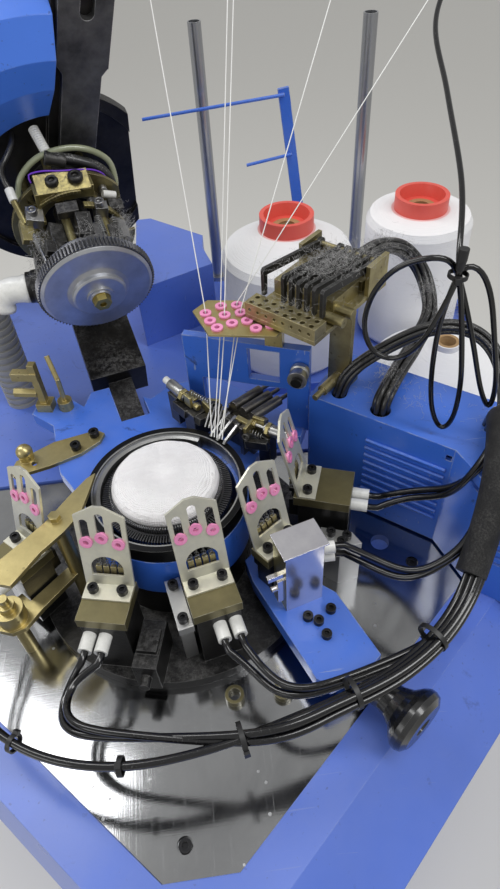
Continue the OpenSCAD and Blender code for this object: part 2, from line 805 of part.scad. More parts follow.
// White push fittings where the hoses leave the selector housings.
module connector() {
    rotate([0, 90, 0]) difference() {
        cylinder(r = 5.5, h = 15, $fn = 32);
        translate([0, 0, 9]) cylinder(r = hose_dia / 2 + 0.1, h = 10, $fn = 32);
    }
}

module hose_connectors() {
    color([0.93, 0.93, 0.91]) at_needles() for (i = [0 : len(STATIONS) - 1], side = [-1, 1]) {
        translate(out_of(i, side, 0)) rotate(i == 3 ? 0 : STATIONS[i][2]) connector();
    }
}

// A point of a station's own frame in the frame of the needle tops.
function from_station(i, p) = let (q = STATIONS[i], a = q[2])
    [q[0] + p[0] * cos(a) - p[1] * sin(a), q[1] + p[0] * sin(a) + p[1] * cos(a), p[2]];

// Point on a hose's way out of its housing; the fourth station's hoses leave from a block beside it.
function out_of(i, side, d) = i == 3 ? [122 + d, -58, side < 0 ? -54 : -42]
    : from_station(i, [STATIONS[i][3] + 8 + d, side * 6.5 + (i < 2 ? -6 : 6), -45]);

sensor_at = [88.5, -99.5];
sensor_turn = 16;

// Bright sensor housing on the arm with a folded top sheet.
module sensor_box() {
    color(steel) at_needles() translate([sensor_at[0], sensor_at[1], arm_top]) rotate(sensor_turn) {
        cube([33, 24, 77]);
        translate([-2, -2, 77]) cube([38, 27, 1.5]);
        translate([-6, 3, 14]) cube([6, 8, 30]);
        translate([-11, 5, 34]) rotate([0, 90, 0]) cylinder(r = 2.5, h = 6, $fn = 24);
        translate([-14, 3, 48]) cube([14, 4, 5]);
    }
}

eye_plate_z = 98;

// Brass pentagon with fourteen eyelets and the block it is screwed to.
module eye_plate() {
    color(brass) at_needles() {
        translate([0, 0, eye_plate_z]) linear_extrude(bracket_thick) difference() {
            polygon([[41, 107], [55, 121], [83, 115], [124, 78], [107, 57], [52, 70]]);
            for (p = PLATE_EYES) {
                translate([p[0], p[1]]) circle(r = slot_width / 2, $fn = 32);
            }
        }
        in_window() translate([25, -8, window_top]) cube([16, 8, eye_plate_z + 1 - window_top]);
    }
}

comb_from = [91, 92];
comb_turn = -46;
comb_wide = 16;
comb_z = 106;
comb_high = 11;

module in_comb() {
    at_needles() translate([comb_from[0], comb_from[1], comb_z]) rotate(comb_turn) children();
}

// Brass comb bar with two rows of holes that the lever tips drop into.
module comb_bar() {
    color(brass) in_comb() difference() {
        translate([0, -comb_wide / 2, 0]) cube([comb_len, comb_wide, comb_high]);
        for (k = [0 : 7], side = [-1, 1]) {
            translate([5 + k * 8.6, side * 4 - 0.5, comb_high - 8]) cylinder(r = 2.2, h = 20, $fn = 24);
        }
        for (k = [0 : 7]) {
            translate([5 + k * 8.6, -comb_wide, 5]) rotate([-90, 0, 0]) cylinder(r = 1.5, h = 12, $fn = 24);
        }
    }
}

lever_len = 84;
lever_pivot_z = 21;
lever_front_z = 36;
lever_y = 8;
function lever_x(k) = k == 1 ? 7 : 20 + (k - 1) * lever_pitch;
cheek_thick = 3;
comb_len = lever_x(lever_count) + lever_thick / 2 + 0.8 + cheek_thick;

// Black lever: long arm back to its shaft, bent tip down to the comb.
module lever(k) {
    color([0.17, 0.17, 0.18]) in_comb() translate([lever_x(k), lever_y, 0]) rotate([90, 0, 90])
        linear_extrude(lever_thick, center = true) difference() {
            union() {
                polygon([[0, comb_high + 0.4], [4, comb_high + 0.4], [5, lever_front_z - lever_height],
                    [lever_len, lever_pivot_z - lever_height / 2], [lever_len, lever_pivot_z + lever_height / 2],
                    [2, lever_front_z], [0, lever_front_z - 2]]);
                translate([lever_len, lever_pivot_z]) circle(r = 5.2);
            }
            translate([lever_len, lever_pivot_z]) circle(r = lever_shaft_r + pin_clear);
        }
}

// Brass cheeks and base behind the comb with the shaft that the levers turn on.
module lever_housing() {
    color(brass) in_comb() {
        translate([0, comb_wide / 2 + 0.3, -4]) cube([comb_len, 88, 4]);
        for (x = [-1, comb_len - cheek_thick]) {
            translate([x, 70, -4]) cube([cheek_thick + 1, 30, 32]);
        }
        translate([-1, 96, -4]) cube([comb_len + 2, 4, 19]);
        translate([-1, lever_y + lever_len, lever_pivot_z]) rotate([0, 90, 0]) cylinder(r = lever_shaft_r, h = comb_len + 2);
        translate([2, 30, 0]) cube([comb_len - 10, 38, 14]);
        translate([2, 74, 0]) cube([comb_len - 10, 8, 9]);
        translate([comb_len - 10, 22, 4]) rotate([0, 90, 0]) cylinder(r = 4.5, h = 18, $fn = 32);
        translate([comb_len - 10, 36, 4]) rotate([0, 90, 0]) cylinder(r = 4.5, h = 18, $fn = 32);
        translate([0, -comb_wide / 2, -4]) cube([comb_len, comb_wide, 4]);
    }
}

// Brass upright that carries the lever bank from the cable box.
module brass_upright() {
    color(brass) at_needles() {
        translate([159, 87, box_top]) rotate(comb_turn) {
            cube([22, 5, comb_z - 4 - box_top]);
            cube([22, 18, 4]);
            translate([11, 1, 10]) rotate([90, 0, 0]) cylinder(r = 5, h = 26);
            translate([11, -25, 10]) rotate([90, 0, 0]) cylinder(r = 3, h = 12);
        }
    }
}

roller_z = 44;
roller_pin_r = 3;

// Steel guide roller on its pin.
module guide_roller() {
    color(steel) at_needles() in_window() translate([8, -0.4, roller_z]) rotate([90, 0, 0]) translate([0, 0, -16.8]) {
        difference() {
            cylinder(r = 9, h = 15);
            translate([0, 0, -1]) cylinder(r = roller_pin_r + pin_clear, h = 20);
            translate([0, 0, 0]) rotate_extrude() polygon([[9.5, 4], [7.6, 5.5], [7.6, 9.5], [9.5, 11]]);
        }
    }
}

// Block of thread fingers beside the cylinder's rear right.
finger_at = [58, 58];
finger_turn = -48;

module in_fingers() {
    at_needles() translate([finger_at[0], finger_at[1], 0]) rotate(finger_turn) children();
}

module finger_block() {
    color([0.35, 0.34, 0.33]) in_fingers() {
        translate([-22, 12, table_top]) cube([44, 16, 20]);
        translate([-22, 27, table_top]) cube([44, 8, 30]);
        for (x = [-20.5, 16.5]) {
            translate([x, 0, -22]) cube([4, 14, 34]);
        }
        translate([-20, 6, 6]) rotate([0, 90, 0]) cylinder(r = 2, h = 40, $fn = 32);
        for (k = [0 : 2]) {
            translate([-14 + k * 12, 26, 2]) rotate([-90, 0, -8]) cylinder(r = 5, h = 34);
            translate([-14 + k * 12, 26, 2]) rotate([-90, 0, -8]) cylinder(r = 2, h = 46, $fn = 24);
        }
    }
}

module yarn_finger(k) {
    color([0.75, 0.72, 0.60]) in_fingers() translate([-12 + k * 8, 0, 0]) rotate([90, 0, 90])
        linear_extrude(2.4, center = true) difference() {
            polygon([[2, 2], [10, 2], [10, 12], [2, 11], [-14, 4.5], [-17, 1.5], [-15, 0.5], [-4, 3]]);
            translate([6, 6]) circle(r = 2 + pin_clear, $fn = 32);
        }
}

// Turns the head about its hinge from the lowered place to the raised one.
module in_head() {
    at_needles() rotate(head_turn) translate([0, hinge_back, -hinge_drop]) rotate([-head_raise, 0, 0])
        translate([0, -hinge_back, hinge_drop]) children();
}

flange_z = 150;
flange_r = 104;
flange_flat = 79;

// Blue hood over the upper left of the head, with the black dished flange inside it.
module head_hood() {
    color(blue) in_head() difference() {
        rotate(196) rotate_extrude(angle = 86, $fn = 96)
            polygon([[86, 144], [122, 126], [150, 122], [178, 138], [186, 170], [176, 214], [150, 250],
                [110, 270], [84, 274], [84, 268], [108, 264], [146, 245], [170, 211], [180, 170], [172, 142],
                [149, 128], [124, 132], [100, 142.5], [100, flange_z], [90, flange_z], [88, 147]]);
        at_lift_arm() translate([-100, -27.5, -50]) cube([400, 200, 400]);
    }
}

// The lift arm runs across the flange: x along it, y towards the right.
module at_lift_arm() {
    translate([23.5, -47, flange_z - 2]) rotate(-77.4) children();
}

module head_body() {
    color(black) in_head() {
        translate([0, 0, flange_z]) difference() {
            cylinder(r = flange_r, h = 10);
            translate([0, 0, -1]) cylinder(r = flange_r - 12, h = 6);
            translate([flange_flat, -200, -1]) cube([100, 400, 20]);
        }
        translate([0, 0, 112]) cylinder(r = 30, h = 45);
        difference() {
            translate([0, 0, 32]) cylinder(r = 17, h = 100);
            translate([0, 0, 20]) cylinder(r = spindle_r + pin_clear, h = 90);
        }
    }
    color(blue) in_head() difference() {
        union() {
            translate([-31, -70, flange_z + 10]) cube([62, 200, 26]);
            translate([-31, 112, table_top + 12]) cube([62, 44, flange_z - table_top]);
            translate([-neck_half, hinge_back - neck_front, -hinge_drop])
                cube([2 * neck_half, neck_front + 6, hinge_drop + 10]);
            translate([-34, hinge_back, -hinge_drop]) rotate([0, 90, 0]) cylinder(r = 19.5, h = 68);
            at_lift_arm() translate([-6, -27, 0]) cube([165, 34, 22]);
        }
        translate([-50, hinge_back, -hinge_drop]) rotate([0, 90, 0]) cylinder(r = hinge_pin_r + pin_clear, h = 100);
    }
}

spindle_r = 7;
neck_half = 13;
neck_front = 22;

// Steel rods and brass valve plates between the cam box and the flange.
module head_frame() {
    color(brass) in_head() {
        for (a = [20, 75, 140, 200, 255, 310]) {
            rotate(a) translate([38, 0, 32]) cylinder(r = 4, h = flange_z + 5 - 32, $fn = 32);
        }
        translate([0, 0, 96]) difference() {
            intersection() {
                cylinder(r = 60, h = 4);
                translate([-70, -70, 0]) cube([120, 104, 10]);
            }
            translate([0, 0, -1]) cylinder(r = 31, h = 10);
            for (a = [230, 285]) {
                rotate(a) translate([50, 0, -1]) cylinder(r = 6, h = 10);
            }
        }
        translate([0, 0, 74]) difference() {
            cylinder(r = 57, h = 3);
            translate([0, 0, -1]) cylinder(r = 46, h = 10);
            translate([-80, -80, -1]) cube([160, 84, 10]);
            translate([-84, -10, -1]) cube([84, 84, 10]);
        }
        rotate(20) translate([38, -3, 74]) cube([16, 6, 3]);
        rotate(75) translate([38, -3, 74]) cube([16, 6, 3]);
    }
}

// Black slotted lift arm bolted to the blue flange of the head.
module slotted_plate() {
    color(black) in_head() at_lift_arm() translate([0, 0, -8]) linear_extrude(8) difference() {
        union() {
            translate([0, -17.5]) square([76, 35]);
            translate([82, -23]) square([108, 46]);
            polygon([[75, -17.5], [83, -23], [83, 23], [75, 17.5]]);
        }
        translate([128, -5]) square([44, 12]);
        translate([128, 1]) circle(r = 6, $fn = 32);
        translate([172, 1]) circle(r = 6, $fn = 32);
    }
}

saw_base = 8;
saw_high = 9;
cam_base = saw_base + saw_high + 0.4;

module dial_cam() {
    color([0.22, 0.21, 0.21]) in_head() translate([0, 0, cam_base]) difference() {
        union() {
            cylinder(r = 51, h = 6);
            cylinder(r = 44, h = 30 - cam_base + 2);
            for (a = [48, 108, 168, 228, 283, 340]) {
                rotate(a) translate([30, -7, 5]) cube([16, 14, 22]);
            }
        }
        translate([0, 0, -1]) cylinder(r = spindle_r + pin_clear, h = 60);
    }
}

// Ring of saw teeth round the dial, in two rows.
module saw_ring() {
    color([0.45, 0.45, 0.46]) in_head() translate([0, 0, saw_base]) difference() {
        union() {
            linear_extrude(saw_high) polygon([for (i = [0 : saw_teeth - 1], q = [0 : 2])
                let (a = 360 / saw_teeth * (i + q * 0.3), r = q == 0 ? saw_r - 2 : q == 1 ? saw_r : saw_r - 2)
                [r * cos(a), r * sin(a)]]);
        }
        translate([0, 0, -1]) cylinder(r = dial_r - 2, h = 30);
    }
}

// Grey dial plate with its stepped hub, spindle and brass nut.
module dial_disc() {
    color([0.62, 0.63, 0.65]) in_head() {
        rotate_extrude($fn = 96) polygon([[0, -5], [13, -5], [13, -3], [24, -3], [26, -1.5], [26, dial_clear - 3],
            [30, dial_clear - 1], [dial_r - 3, dial_clear], [dial_r, saw_base - 1], [dial_r, saw_base],
            [dial_r - 2.1, saw_base], [dial_r - 2.1, saw_base + saw_high], [0, saw_base + saw_high]]);
        translate([0, 0, saw_base + saw_high - 1]) cylinder(r = spindle_r, h = 80);
    }
    color(brass) in_head() translate([0, 0, -13]) difference() {
        union() {
            cylinder(r = 8.5, h = 8, $fn = 6);
            translate([0, 0, 6.5]) cylinder(r = 10, h = 1.5, $fn = 40);
        }
        translate([0, 0, -1]) cylinder(r = 3.6, h = 5, $fn = 6);
    }
}

// Cast ears on the bed that carry the head's hinge pin.
module hinge_bracket() {
    color([0.12, 0.12, 0.13]) at_needles() rotate(head_turn) {
        for (x = [-50, 34.6]) {
            difference() {
                union() {
                    translate([x, hinge_back - 17, -needle_rise + rim_lip]) cube([15.4, 37, needle_rise - hinge_drop - rim_lip]);
                    translate([x, hinge_back, -hinge_drop]) rotate([0, 90, 0]) cylinder(r = 20, h = 15.4);
                }
            }
        }
        translate([-50, hinge_back, -hinge_drop]) rotate([0, 90, 0]) cylinder(r = hinge_pin_r, h = 100);
    }
}

// Ribbed suction hose and its white elbow at the left.
module suction_line() {
    color([0.72, 0.73, 0.74]) at_needles() translate([-186, 266, 0]) {
        translate([0, 0, -needle_rise + rim_lip]) difference() {
            union() {
                for (k = [0 : 15]) {
                    translate([0, 0, k * 9]) cylinder(r = 20, h = 5);
                }
                cylinder(r = 18.5, h = 145);
            }
            translate([0, 0, 4]) cylinder(r = 15.5, h = 200);
        }
        translate([0, 0, 36]) difference() {
            union() {
                cylinder(r = 19.4, h = 36);
                translate([0, 0, 18]) rotate([0, -90, 20]) cylinder(r = 15, h = 46);
            }
            translate([0, 0, -1]) cylinder(r = 15.5, h = 33);
            translate([0, 0, 18]) rotate([0, -90, 20]) cylinder(r = 12.2, h = 60);
        }
    }
}

// Brass plate with a ball topped post at the left of the table.
module brass_plate() {
    color(brass) at_needles() {
        difference() {
            translate([0, 0, table_top]) linear_extrude(4) polygon([[-150, 62], [-146, 76], [-112, 96], [-70, 106],
                [-62, 100], [-66, 90], [-84, 76], [-114, 64], [-146, 56]]);
            translate([-128, 70, table_top - 1]) cylinder(r = 3, h = 8);
        }
        translate([-136, 78, table_top + 3]) cylinder(r = 7, h = 10);
        translate([-136, 78, table_top + 13]) sphere(r = 8);
        translate([-134, 148, table_top]) rotate(-12) {
            cube([16, 14, 10]);
            translate([4, 3, 9]) cube([7, 8, 50]);
            translate([-16, 2, 40]) cube([27, 9, 9]);
            translate([-20, 6, 22]) rotate([0, 90, 0]) cylinder(r = 5, h = 24, $fn = 6);
        }
        translate([-104, 150, table_top]) {
            cylinder(r = 7.5, h = 11);
            translate([0, 0, 9]) cylinder(r = 2.6, h = 30);
            translate([0, 0, 38]) rotate([-24, -14, 0]) cylinder(r = 2.6, h = 26);
        }
    }
}

// Long brass strip over the left stations with its slotted foot and steel adjuster.
module brass_arm() {
    color(brass) {
        at_needles() {
            translate([-59, 12, 8]) rotate(-125.2) linear_extrude(4) polygon([[0, 0], [8, -3], [30, -4], [60, -4],
                [84, -8], [116, -14], [122, -2], [118, 12], [84, 12], [60, 16], [40, 16], [14, 6]]);
            translate([-89, -33, disc_top]) cylinder(r = 6.5, h = 8 - disc_top + 1);
            translate([-89, -33, 11]) cylinder(r = 5, h = 6, $fn = 6);
        }
        at_station(0) {
            translate([0, 0, -64]) linear_extrude(5) polygon([[-8, 20], [43, 20], [43, 8], [62, 6], [72, 10], [77, 21],
                [72, 32], [62, 37], [40, 34], [-8, 32]]);
            translate([62, 21.5, -needle_rise]) cylinder(r = 6, h = 48);
            translate([62, 21.5, -59.5]) cylinder(r = 12, h = 16);
            translate([62, 21.5, -44]) cylinder(r = 7, h = 8);
            translate([62, 21.5, -37]) cylinder(r = 4, h = 9);
        }
    }
}

// Tube of straight rings swept through points with a fixed number of sides.
function unit(v) = v / norm(v);
function spread(p, i) = i == 0 ? p[1] - p[0] : i == len(p) - 1 ? p[i] - p[i - 1] : unit(p[i + 1] - p[i]) + unit(p[i] - p[i - 1]);
function carried(p, i, a) = i == len(p) ? [] : let (t = unit(spread(p, i)), b = unit(a - (a * t) * t))
    concat([[b, cross(t, b)]], carried(p, i + 1, b));
module tube(p, r, sides = 8) {
    n = len(p);
    first = unit(p[1] - p[0]);
    fr = carried(p, 0, abs(first[2]) > 0.9 ? [1, 0, 0] : [0, 0, 1]);
    pts = [for (i = [0 : n - 1], k = [0 : sides - 1])
        p[i] + r * cos(360 / sides * k) * fr[i][0] + r * sin(360 / sides * k) * fr[i][1]];
    sides_faces = [for (i = [0 : n - 2], k = [0 : sides - 1])
        [i * sides + k, i * sides + (k + 1) % sides, (i + 1) * sides + (k + 1) % sides, (i + 1) * sides + k]];
    polyhedron(points = pts, faces = concat([[for (k = [sides - 1 : -1 : 0]) k]], sides_faces,
        [[for (k = [0 : sides - 1]) (n - 1) * sides + k]]), convexity = 8);
}

// Routes of the held hoses, relative to the needle tops.
MAIN_ROUTE = [[-156, -166, -46], [-128, -180, -40], [-84, -205, -36], [-36, -215, -34], [11, -213, -32],
    [53, -206, -31], [104, -194, -30], [150, -180, -30], [194, -155, -27], [222, -128, -18], [239, -104, 0],
    [250, -87, 18], [260, -67, 37], [270, -43, 46], [279, -20, 48], [286, -6, 42], [288, 0, 30], [288, 0, 8]];
REAR_ROUTE = [[189.7, 134.03, 113], [199, 143.2, 113], [226, 168, 107], [254, 184, 90], [274, 178, 64], [272, 142, 44],
    [246, 104, 36], [222, 72, 36], [205, 48, 35], [198, 39, 29.5], [197, 38, 21], [197, 38, 6]];
LOOP_ROUTE = [[382, 345, 422.6], [376, 310, 300], [345, 240, 160], [309, 168, 64], [262, 106, 50], [240, 0, 34],
    [262, 14, 40], [300, 80, 64], [318, 158, 56]];
BRANCHES = [[[-166, -100, -50], [-170, -132, -46], [-152, -150, -38]],
    [[-88, -140, -58], [-90, -162, -56], [-74, -184, -42], [-52, -195, -28]],
    [[52, -142, -54], [66, -162, -56], [88, -179, -45], [118, -173, -34]],
    [[160, -70, -47], [178, -88, -43], [194, -102, -36], [207, -116, -27]],
    [[204, -18, -34], [226, -32, -18], [241, -47, 0], [247, -58, 18]]];

module harness() {
    color(black) at_needles() {
        tube(MAIN_ROUTE, bundle_dia / 2, 10);
        tube(REAR_ROUTE, bundle_dia / 2, 10);
        tube(LOOP_ROUTE, 2.4, 8);
        for (i = [0 : len(STATIONS) - 1], side = [-1, 1]) {
            shift = side * 4.4;
            tube(concat([out_of(i, side, 10), out_of(i, side, 22)],
                [for (p = BRANCHES[i]) p + [shift * 0.55, shift * 0.2, shift * 0.8]]), hose_dia / 2, 8);
        }
    }
}

module head_hoses() {
    color([0.35, 0.36, 0.38]) in_head() tube([[-44, 24, 100.2], [-44, 24, 107], [-60, 4, 115], [-57, -38, 120], [-24, -66, 124],
        [20, -70, 124], [42, -44, 118], [42, -28, 110], [42, -28, 100.2]], 4, 8);
}

// Straight thread strands from the overhead eyes to the fingers.
STRAND_LOWS = [[52, 100], [66, 108], [68, 94], [82, 95], [80, 107]];

module strand(a, b) {
    v = b - a;
    translate(a) rotate([0, acos(v[2] / norm(v)), atan2(v[1], v[0])]) cylinder(r = yarn_dia / 2, h = norm(v), $fn = 13);
}

module yarn_strands() {
    color([0.95, 0.95, 0.93]) at_needles() for (i = [0 : len(STRAND_TOPS) - 1]) {
        low = STRAND_LOWS[i];
        strand([low[0], low[1], eye_plate_z + 5], [STRAND_TOPS[i][0], STRAND_TOPS[i][1], guide_height - 12.4]);
        strand([low[0], low[1], eye_plate_z - 3], [low[0], low[1], eye_plate_z + 5]);
        strand([low[0], low[1], eye_plate_z - 3], [44 + i * 2.2, 40 - i * 1.4, 11]);
    }
}

base_plate();
cabinet();
bed_frame();
bed_plate();
cap_screws();
cable_box();
cone_tray();
creel_poles();
guide_bracket();
yarn_stand();
yarn_cones();
cam_box();
feeder_table();
outer_ring();
sinker_cap();
needle_cylinder();
needles();
sinkers();
knitted_fabric();
cylinder_pulley();
drive_belt();
drive_motor();
motor_pulley();
front_arm();
arm_knob();
eye_brackets();
feeder_blocks();
eyelets();
hose_connectors();
sensor_box();
eye_plate();
comb_bar();
lever(1);  // lever_1
lever(2);  // lever_2
lever(3);  // lever_3
lever(4);  // lever_4
lever(5);  // lever_5
lever(6);  // lever_6
lever(7);  // lever_7
lever_housing();
brass_upright();
guide_roller();
finger_block();
yarn_finger(1);  // yarn_finger_1
yarn_finger(2);  // yarn_finger_2
yarn_finger(3);  // yarn_finger_3
head_hood();
head_body();
head_frame();
slotted_plate();
dial_cam();
saw_ring();
dial_disc();
hinge_bracket();
suction_line();
brass_plate();
brass_arm();
harness();
head_hoses();
yarn_strands();
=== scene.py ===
# Single cylinder sock knitting machine with its dial head swung up, seen from the operator's side.
# Metres, +Z up, origin on the needle cylinder's axis at floor level.
import math
import random

import bmesh
import bpy
from mathutils import Matrix, Vector, noise


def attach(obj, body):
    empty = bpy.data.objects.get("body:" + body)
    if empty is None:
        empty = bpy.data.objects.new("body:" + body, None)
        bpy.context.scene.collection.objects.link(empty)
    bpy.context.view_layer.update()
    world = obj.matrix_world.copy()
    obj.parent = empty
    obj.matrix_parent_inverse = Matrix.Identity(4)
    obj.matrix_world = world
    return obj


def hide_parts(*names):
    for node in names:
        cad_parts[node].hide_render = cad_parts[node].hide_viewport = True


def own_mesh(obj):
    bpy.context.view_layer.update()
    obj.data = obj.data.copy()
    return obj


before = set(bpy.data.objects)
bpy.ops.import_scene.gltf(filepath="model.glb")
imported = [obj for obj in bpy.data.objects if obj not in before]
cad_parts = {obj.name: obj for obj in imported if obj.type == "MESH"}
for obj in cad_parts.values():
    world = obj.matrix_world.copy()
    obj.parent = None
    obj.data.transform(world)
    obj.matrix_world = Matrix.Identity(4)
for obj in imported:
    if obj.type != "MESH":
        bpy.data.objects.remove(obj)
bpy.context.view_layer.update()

# Camera: above the operator's head, looking down on the needles and back along the table.
# Its place, turn and lens reproduce the photograph's view; no shift and no depth of field.
camera = bpy.data.objects.new("camera", bpy.data.cameras.new("camera"))
bpy.context.scene.collection.objects.link(camera)
camera.data.lens = 25.92
camera.data.sensor_width = 36
camera.data.clip_start = 0.02
camera.data.clip_end = 60
camera_right = Vector((0.99121, -0.122124, -0.050876))
camera_up = Vector((0.123104, 0.710552, 0.692793))
camera_back = Vector((-0.048457, -0.692966, 0.71934))
camera_turn = Matrix((camera_right, camera_up, camera_back)).transposed()
camera.matrix_world = Matrix.Translation((0.04932, -0.36764, 1.42754)) @ camera_turn.to_4x4()
bpy.context.scene.camera = camera


# Shader maths: a socket that Python's own arithmetic works on, and the finish that holds its nodes.
class Value:
    def __init__(self, finish, socket):
        self.finish, self.socket = finish, socket

    def maths(self, operation, *others, clamp=False):
        inputs = {i: v for i, v in enumerate((self, *others))}
        return self.finish.node("Math", {"operation": operation, "use_clamp": clamp}, inputs)

    def __add__(self, other): return self.maths("ADD", other)
    def __sub__(self, other): return self.maths("SUBTRACT", other)
    def __mul__(self, other): return self.maths("MULTIPLY", other)
    def __truediv__(self, other): return self.maths("DIVIDE", other)
    __radd__, __rmul__ = __add__, __mul__
    def __rsub__(self, other): return self * -1 + other
    def sine(self): return self.maths("SINE")
    def above(self, edge, width): return ((self - edge) / width + 0.5).maths("ADD", 0, clamp=True)
    def below(self, edge, width): return 1 - self.above(edge, width)


class Finish:
    def __init__(self, name, **sockets):
        self.material = bpy.data.materials.new(name)
        self.material.use_nodes = True
        self.tree = self.material.node_tree
        self.shader = self.tree.nodes["Principled BSDF"]
        self.coordinates = self.node("TexCoord", {}, {}, "Object")
        for socket, value in sockets.items():
            self.put(socket.replace("_", " ").title(), value)

    def put(self, socket, value):
        self.feed(self.shader.inputs[socket], value)

    def feed(self, socket, value):
        if isinstance(value, Value):
            self.tree.links.new(value.socket, socket)
        elif isinstance(value, (tuple, list)) and len(value) == 3 and socket.type == "RGBA":
            socket.default_value = (*value, 1)
        else:
            socket.default_value = value

    def node(self, kind, settings, inputs, output=0):
        made = self.tree.nodes.new("ShaderNode" + kind)
        for name, value in settings.items():
            setattr(made, name, value)
        for name, value in inputs.items():
            self.feed(made.inputs[name], value)
        return Value(self, made.outputs[output])

    def noise(self, scale, detail=3, roughness=0.5, at=None, distortion=0):
        vector = self.coordinates if at is None else at
        return self.node("TexNoise", {}, {"Vector": vector, "Scale": scale, "Detail": detail,
                         "Roughness": roughness, "Distortion": distortion}, "Fac")

    def cells(self, scale):
        return self.node("TexVoronoi", {"feature": "F1"}, {"Vector": self.coordinates, "Scale": scale}, "Distance")

    def stretch(self, scale, turn=(0, 0, 0)):
        return self.node("Mapping", {}, {"Vector": self.coordinates, "Scale": scale, "Rotation": turn})

    def mix(self, factor, first, second):
        return self.node("Mix", {"data_type": "RGBA"}, {"Factor": factor, 6: first, 7: second}, 2)

    def axis(self, name):
        return self.node("SeparateXYZ", {}, {0: self.coordinates}, name)

    def from_axis(self, x=0, y=0):
        """Distance from the vertical line through (x, y)."""
        flat = self.node("CombineXYZ", {}, {"X": self.axis("X"), "Y": self.axis("Y")})
        return self.node("VectorMath", {"operation": "DISTANCE"}, {0: flat, 1: (x, y, 0)}, "Value")

    def facing(self, name):
        normal = self.node("NewGeometry", {}, {}, "Normal")
        return self.node("SeparateXYZ", {}, {0: normal}, name)

    def edges(self, radius):
        """Soft corners, and a mask that is 1 on outer and inner corners."""
        soft = self.node("Bevel", {"samples": 4}, {"Radius": radius}, "Normal")
        true = self.node("NewGeometry", {}, {}, "Normal")
        near = self.node("VectorMath", {"operation": "DOT_PRODUCT"}, {0: soft, 1: true}, "Value")
        return soft, near.below(0.955, 0.07)

    def bump(self, height, distance, strength=1, normal=None):
        inputs = {"Height": height, "Distance": distance, "Strength": strength}
        if normal is not None:
            inputs["Normal"] = normal
        self.put("Normal", self.node("Bump", {}, inputs))


def dress(finish, *nodes):
    for node in nodes:
        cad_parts[node].material_slots[0].material = finish.material


def above_needles(*point):
    """A point in millimetres from the needle tops' centre, in metres in the row frame."""
    return Vector((point[0] / 1000, point[1] / 1000, 1.01 + point[2] / 1000))


# Pneumatic hoses of the five feeder stations: 6 mm polyurethane tube, glossy black, pushed into white
# fittings. Two leave each station; they gather in one bundle round the front and enter the cable box.
def hose_finish(name, colour, shine, dust):
    skin = Finish(name, coat_weight=0.25, coat_roughness=0.12)
    fuzz = skin.noise(900, 2, 0.7).above(0.66 - dust * 0.1, 0.08) * skin.noise(38, 3).above(0.52, 0.2)
    upward = skin.facing("Z").above(0.35, 0.7)
    skin.put("Base Color", skin.mix(fuzz * upward * dust, colour, (0.30, 0.29, 0.28)))
    skin.put("Roughness", skin.noise(130, 3) * 0.16 + shine + fuzz * upward * 0.4)
    skin.bump(skin.noise(420, 2), 0.0002, 0.3)
    return skin


black_hose = hose_finish("black_hose", (0.004, 0.004, 0.005), 0.08, 0.12)
dusty_hose = hose_finish("dusty_hose", (0.010, 0.010, 0.011), 0.26, 0.8)


def smooth(points, step=0.006):
    """A Catmull-Rom line through the points, sampled about every step metres."""
    ends = [2 * points[0] - points[1], *points, 2 * points[-1] - points[-2]]
    line = []
    for a, b, c, d in zip(ends, ends[1:], ends[2:], ends[3:]):
        count = max(2, round((c - b).length / step))
        for i in range(count):
            t = i / count
            line.append(0.5 * (2 * b + (c - a) * t + (2 * a - 5 * b + 4 * c - d) * t * t
                        + (3 * b - a - 3 * c + d) * t ** 3))
    return line + [points[-1]]


def relax(line, rounds=14):
    """Rounds a line's bends by letting each point drift between its neighbours; its three end points stay."""
    for _ in range(rounds):
        line = line[:3] + [0.5 * b + 0.25 * (a + c) for a, b, c in zip(line[2:], line[3:-3], line[4:])] + line[-3:]
    return line


def strand(name, line, radius, finish, sides=4, body="frame"):
    curve = bpy.data.curves.new(name, "CURVE")
    curve.dimensions = "3D"
    curve.bevel_depth = radius
    curve.bevel_resolution = sides
    curve.use_fill_caps = True
    spline = curve.splines.new("POLY")
    spline.points.add(len(line) - 1)
    for target, point in zip(spline.points, line):
        target.co = (*point, 1)
    spline.use_smooth = True
    curve.materials.append(finish.material)
    piece = bpy.data.objects.new(name, curve)
    bpy.context.scene.collection.objects.link(piece)
    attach(piece, body)
    return piece


def length_of(line):
    return sum((b - a).length for a, b in zip(line, line[1:]))


def free_hose(name, line, radius, finish, node="harness", body="frame"):
    piece = strand(name, line, radius, finish, body=body)
    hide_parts(node)
    round(length_of(line), 3)
    2 * radius


def bundled(route, offset, turn, start=0):
    """The route's points from number start on, moved sideways by offset metres in a frame that turns slowly."""
    side = Vector((0, 0, 1))
    line = []
    travelled = 0
    for i, point in enumerate(route):
        ahead = (route[min(i + 1, len(route) - 1)] - route[max(i - 1, 0)]).normalized()
        side = (side - ahead * side.dot(ahead)).normalized()
        travelled += (point - route[max(i - 1, 0)]).length
        angle = turn + travelled * 2.2
        out = side * math.cos(angle) + ahead.cross(side) * math.sin(angle)
        if i >= start:
            line.append(point + out * offset)
    return line


front_route = [above_needles(*p) for p in [
    (-156, -166, -46), (-128, -180, -40), (-84, -205, -36), (-36, -215, -34), (11, -213, -32), (53, -206, -31),
    (104, -194, -30), (150, -180, -30), (194, -155, -27), (222, -128, -18), (239, -104, 0), (250, -87, 18),
    (260, -67, 37), (270, -43, 46), (279, -20, 48), (286, -6, 42), (288, 0, 30), (288, 0, 8)]]
